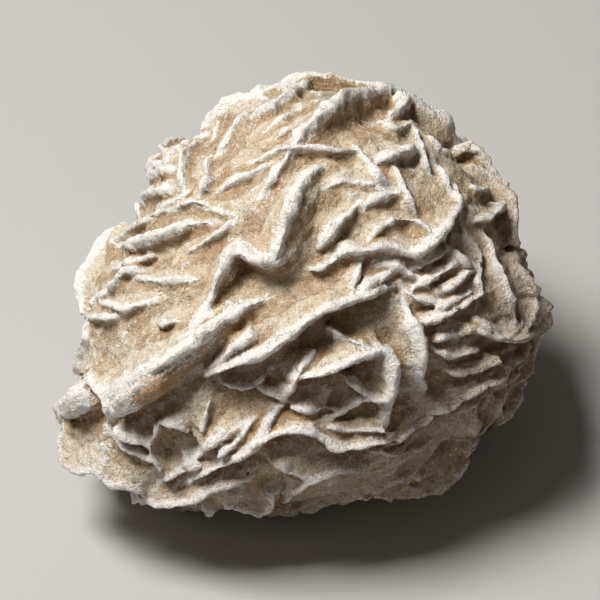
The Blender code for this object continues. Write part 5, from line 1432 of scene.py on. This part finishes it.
def rim_colour(paint, surface, ribs, cracked):
    """White gypsum with grey ribs, dusty grains, fine cracks, and fibres on a thick rim."""
    fibres = paint.spots(paint.scaled(surface.crest, FIBRE_STRETCH), FIBRES)
    return paint.coats(
        paint.mix(paint.step(ribs, RIBS.span), RIM_GREY, RIM_WHITE),
        (paint.step(surface.shades[1], WHOLE, RIM_DUST, 0.0), DUST),
        (paint.times(cracked, CRACK_SHARE), CRACK),
        (paint.times(fibres, surface.thick, FIBRE_SHARE), RIM_SHADE),
    )


def finish_height(paint, surface, rim, ribs, cracked):
    """Relief, in millimetres: grains, pits, fine layers, and ribs and cracks across the rims."""
    height = paint.step(surface.grain, GRAIN_EDGE, GRAIN_HEIGHT, 0.0)
    layers = paint.noise(paint.scaled(surface.crest, LAYER_STRETCH), LAYERS)
    for relief_of, size in (
        (paint.noise(surface.place, PITS), PIT_DEPTH), (layers, LAYER_RELIEF),
        (paint.times(ribs, rim), RIB_HEIGHT), (paint.times(cracked, rim), -CRACK_DEPTH),
    ):
        height = paint.math("MULTIPLY_ADD", relief_of, size, height)
    return height


def rose_material():
    """Sand-filled gypsum: grained tan faces, white worn rims, and painted shade in orange-brown in the
    recesses and under the flanks.
    """
    paint = Paint("sandy_gypsum_finish")
    surface = read_surface(paint)
    amber = amber_share(paint, surface)
    rim = rim_share(paint, surface, amber)
    ribs = paint.noise(paint.scaled(surface.crest, RIB_STRETCH), RIBS)
    cracks = paint.step(paint.cells(surface.place, CRACK_CELLS, "DISTANCE_TO_EDGE")["Distance"], CRACK_WIDTH)
    cracked = paint.times(cracks, paint.spots(surface.place, CRACK_PLACES))
    colours = sand_colour(paint, surface, amber), rim_colour(paint, surface, ribs, cracked)
    height = finish_height(paint, surface, rim, ribs, cracked)
    bump = paint.node("ShaderNodeBump", {"Height": height, "Distance": MM, "Strength": 1.0})
    paint.feed(paint.shader.inputs["Base Color"], paint.mix(rim, *colours))
    paint.feed(paint.shader.inputs["Normal"], bump.outputs[0])
    paint.feed(paint.shader.inputs["Roughness"], paint.step(rim, WHOLE, SAND_ROUGHNESS, RIM_ROUGHNESS))
    paint.shader.inputs["Specular IOR Level"].default_value = SPECULAR
    return paint.material


def floor():
    """A wide plain pale floor under the rose."""
    mesh = bmesh.new()
    bmesh.ops.create_grid(mesh, x_segments=1, y_segments=1, size=FLOOR_SIDE / 2)
    made = new_object("floor", mesh, bpy.context.scene.collection)
    made.location.z = -FLOOR_GAP
    material = bpy.data.materials.new("floor_finish")
    material.use_nodes = True
    shader = material.node_tree.nodes["Principled BSDF"]
    shader.inputs["Base Color"].default_value = FLOOR_COLOUR
    shader.inputs["Roughness"].default_value = FLOOR_ROUGHNESS
    made.data.materials.append(material)


def soft_light(name, direction, energy, size, colour):
    """A square light at LIGHT_DISTANCE from the rose's centre, facing it."""
    light = bpy.data.lights.new(name, "AREA")
    light.size = size
    light.energy = energy
    light.color = colour
    made = bpy.data.objects.new(name, light)
    towards = Vector(direction).normalized()
    made.location = face_to_world().translation + towards * LIGHT_DISTANCE
    made.rotation_euler = towards.to_track_quat("Z", "Y").to_euler()
    bpy.context.scene.collection.objects.link(made)


def studio():
    floor()
    for light in LIGHTS:
        soft_light(*light)
    world = bpy.data.worlds.new("studio")
    world.use_nodes = True
    background = world.node_tree.nodes["Background"]
    background.inputs["Color"].default_value = WORLD_COLOUR
    background.inputs["Strength"].default_value = WORLD_STRENGTH
    bpy.context.scene.world = world
    bpy.context.scene.view_settings.view_transform = "Standard"


def camera():
    """Looks square at the leaning face of the rose."""
    lens = bpy.data.cameras.new("camera")
    lens.lens = CAMERA_LENS
    lens.sensor_width = CAMERA_SENSOR
    made = bpy.data.objects.new("camera", lens)
    bpy.context.scene.collection.objects.link(made)
    place = Vector((0, -CAMERA_DROP / MM, CAMERA_DISTANCE / MM))
    made.matrix_world = face_to_world() @ Matrix.Translation(place) @ Matrix.Scale(1 / MM, 4)
    bpy.context.scene.camera = made


def main():
    camera()
    studio()
    grown = grown_blades()
    rose = fine_rose(grown)
    mark_surface(rose, grown)
    rose.name = "rose"
    rose.data.materials.clear()
    rose.data.materials.append(rose_material())
    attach(rose, "root")
    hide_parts("sand_rose")


main()
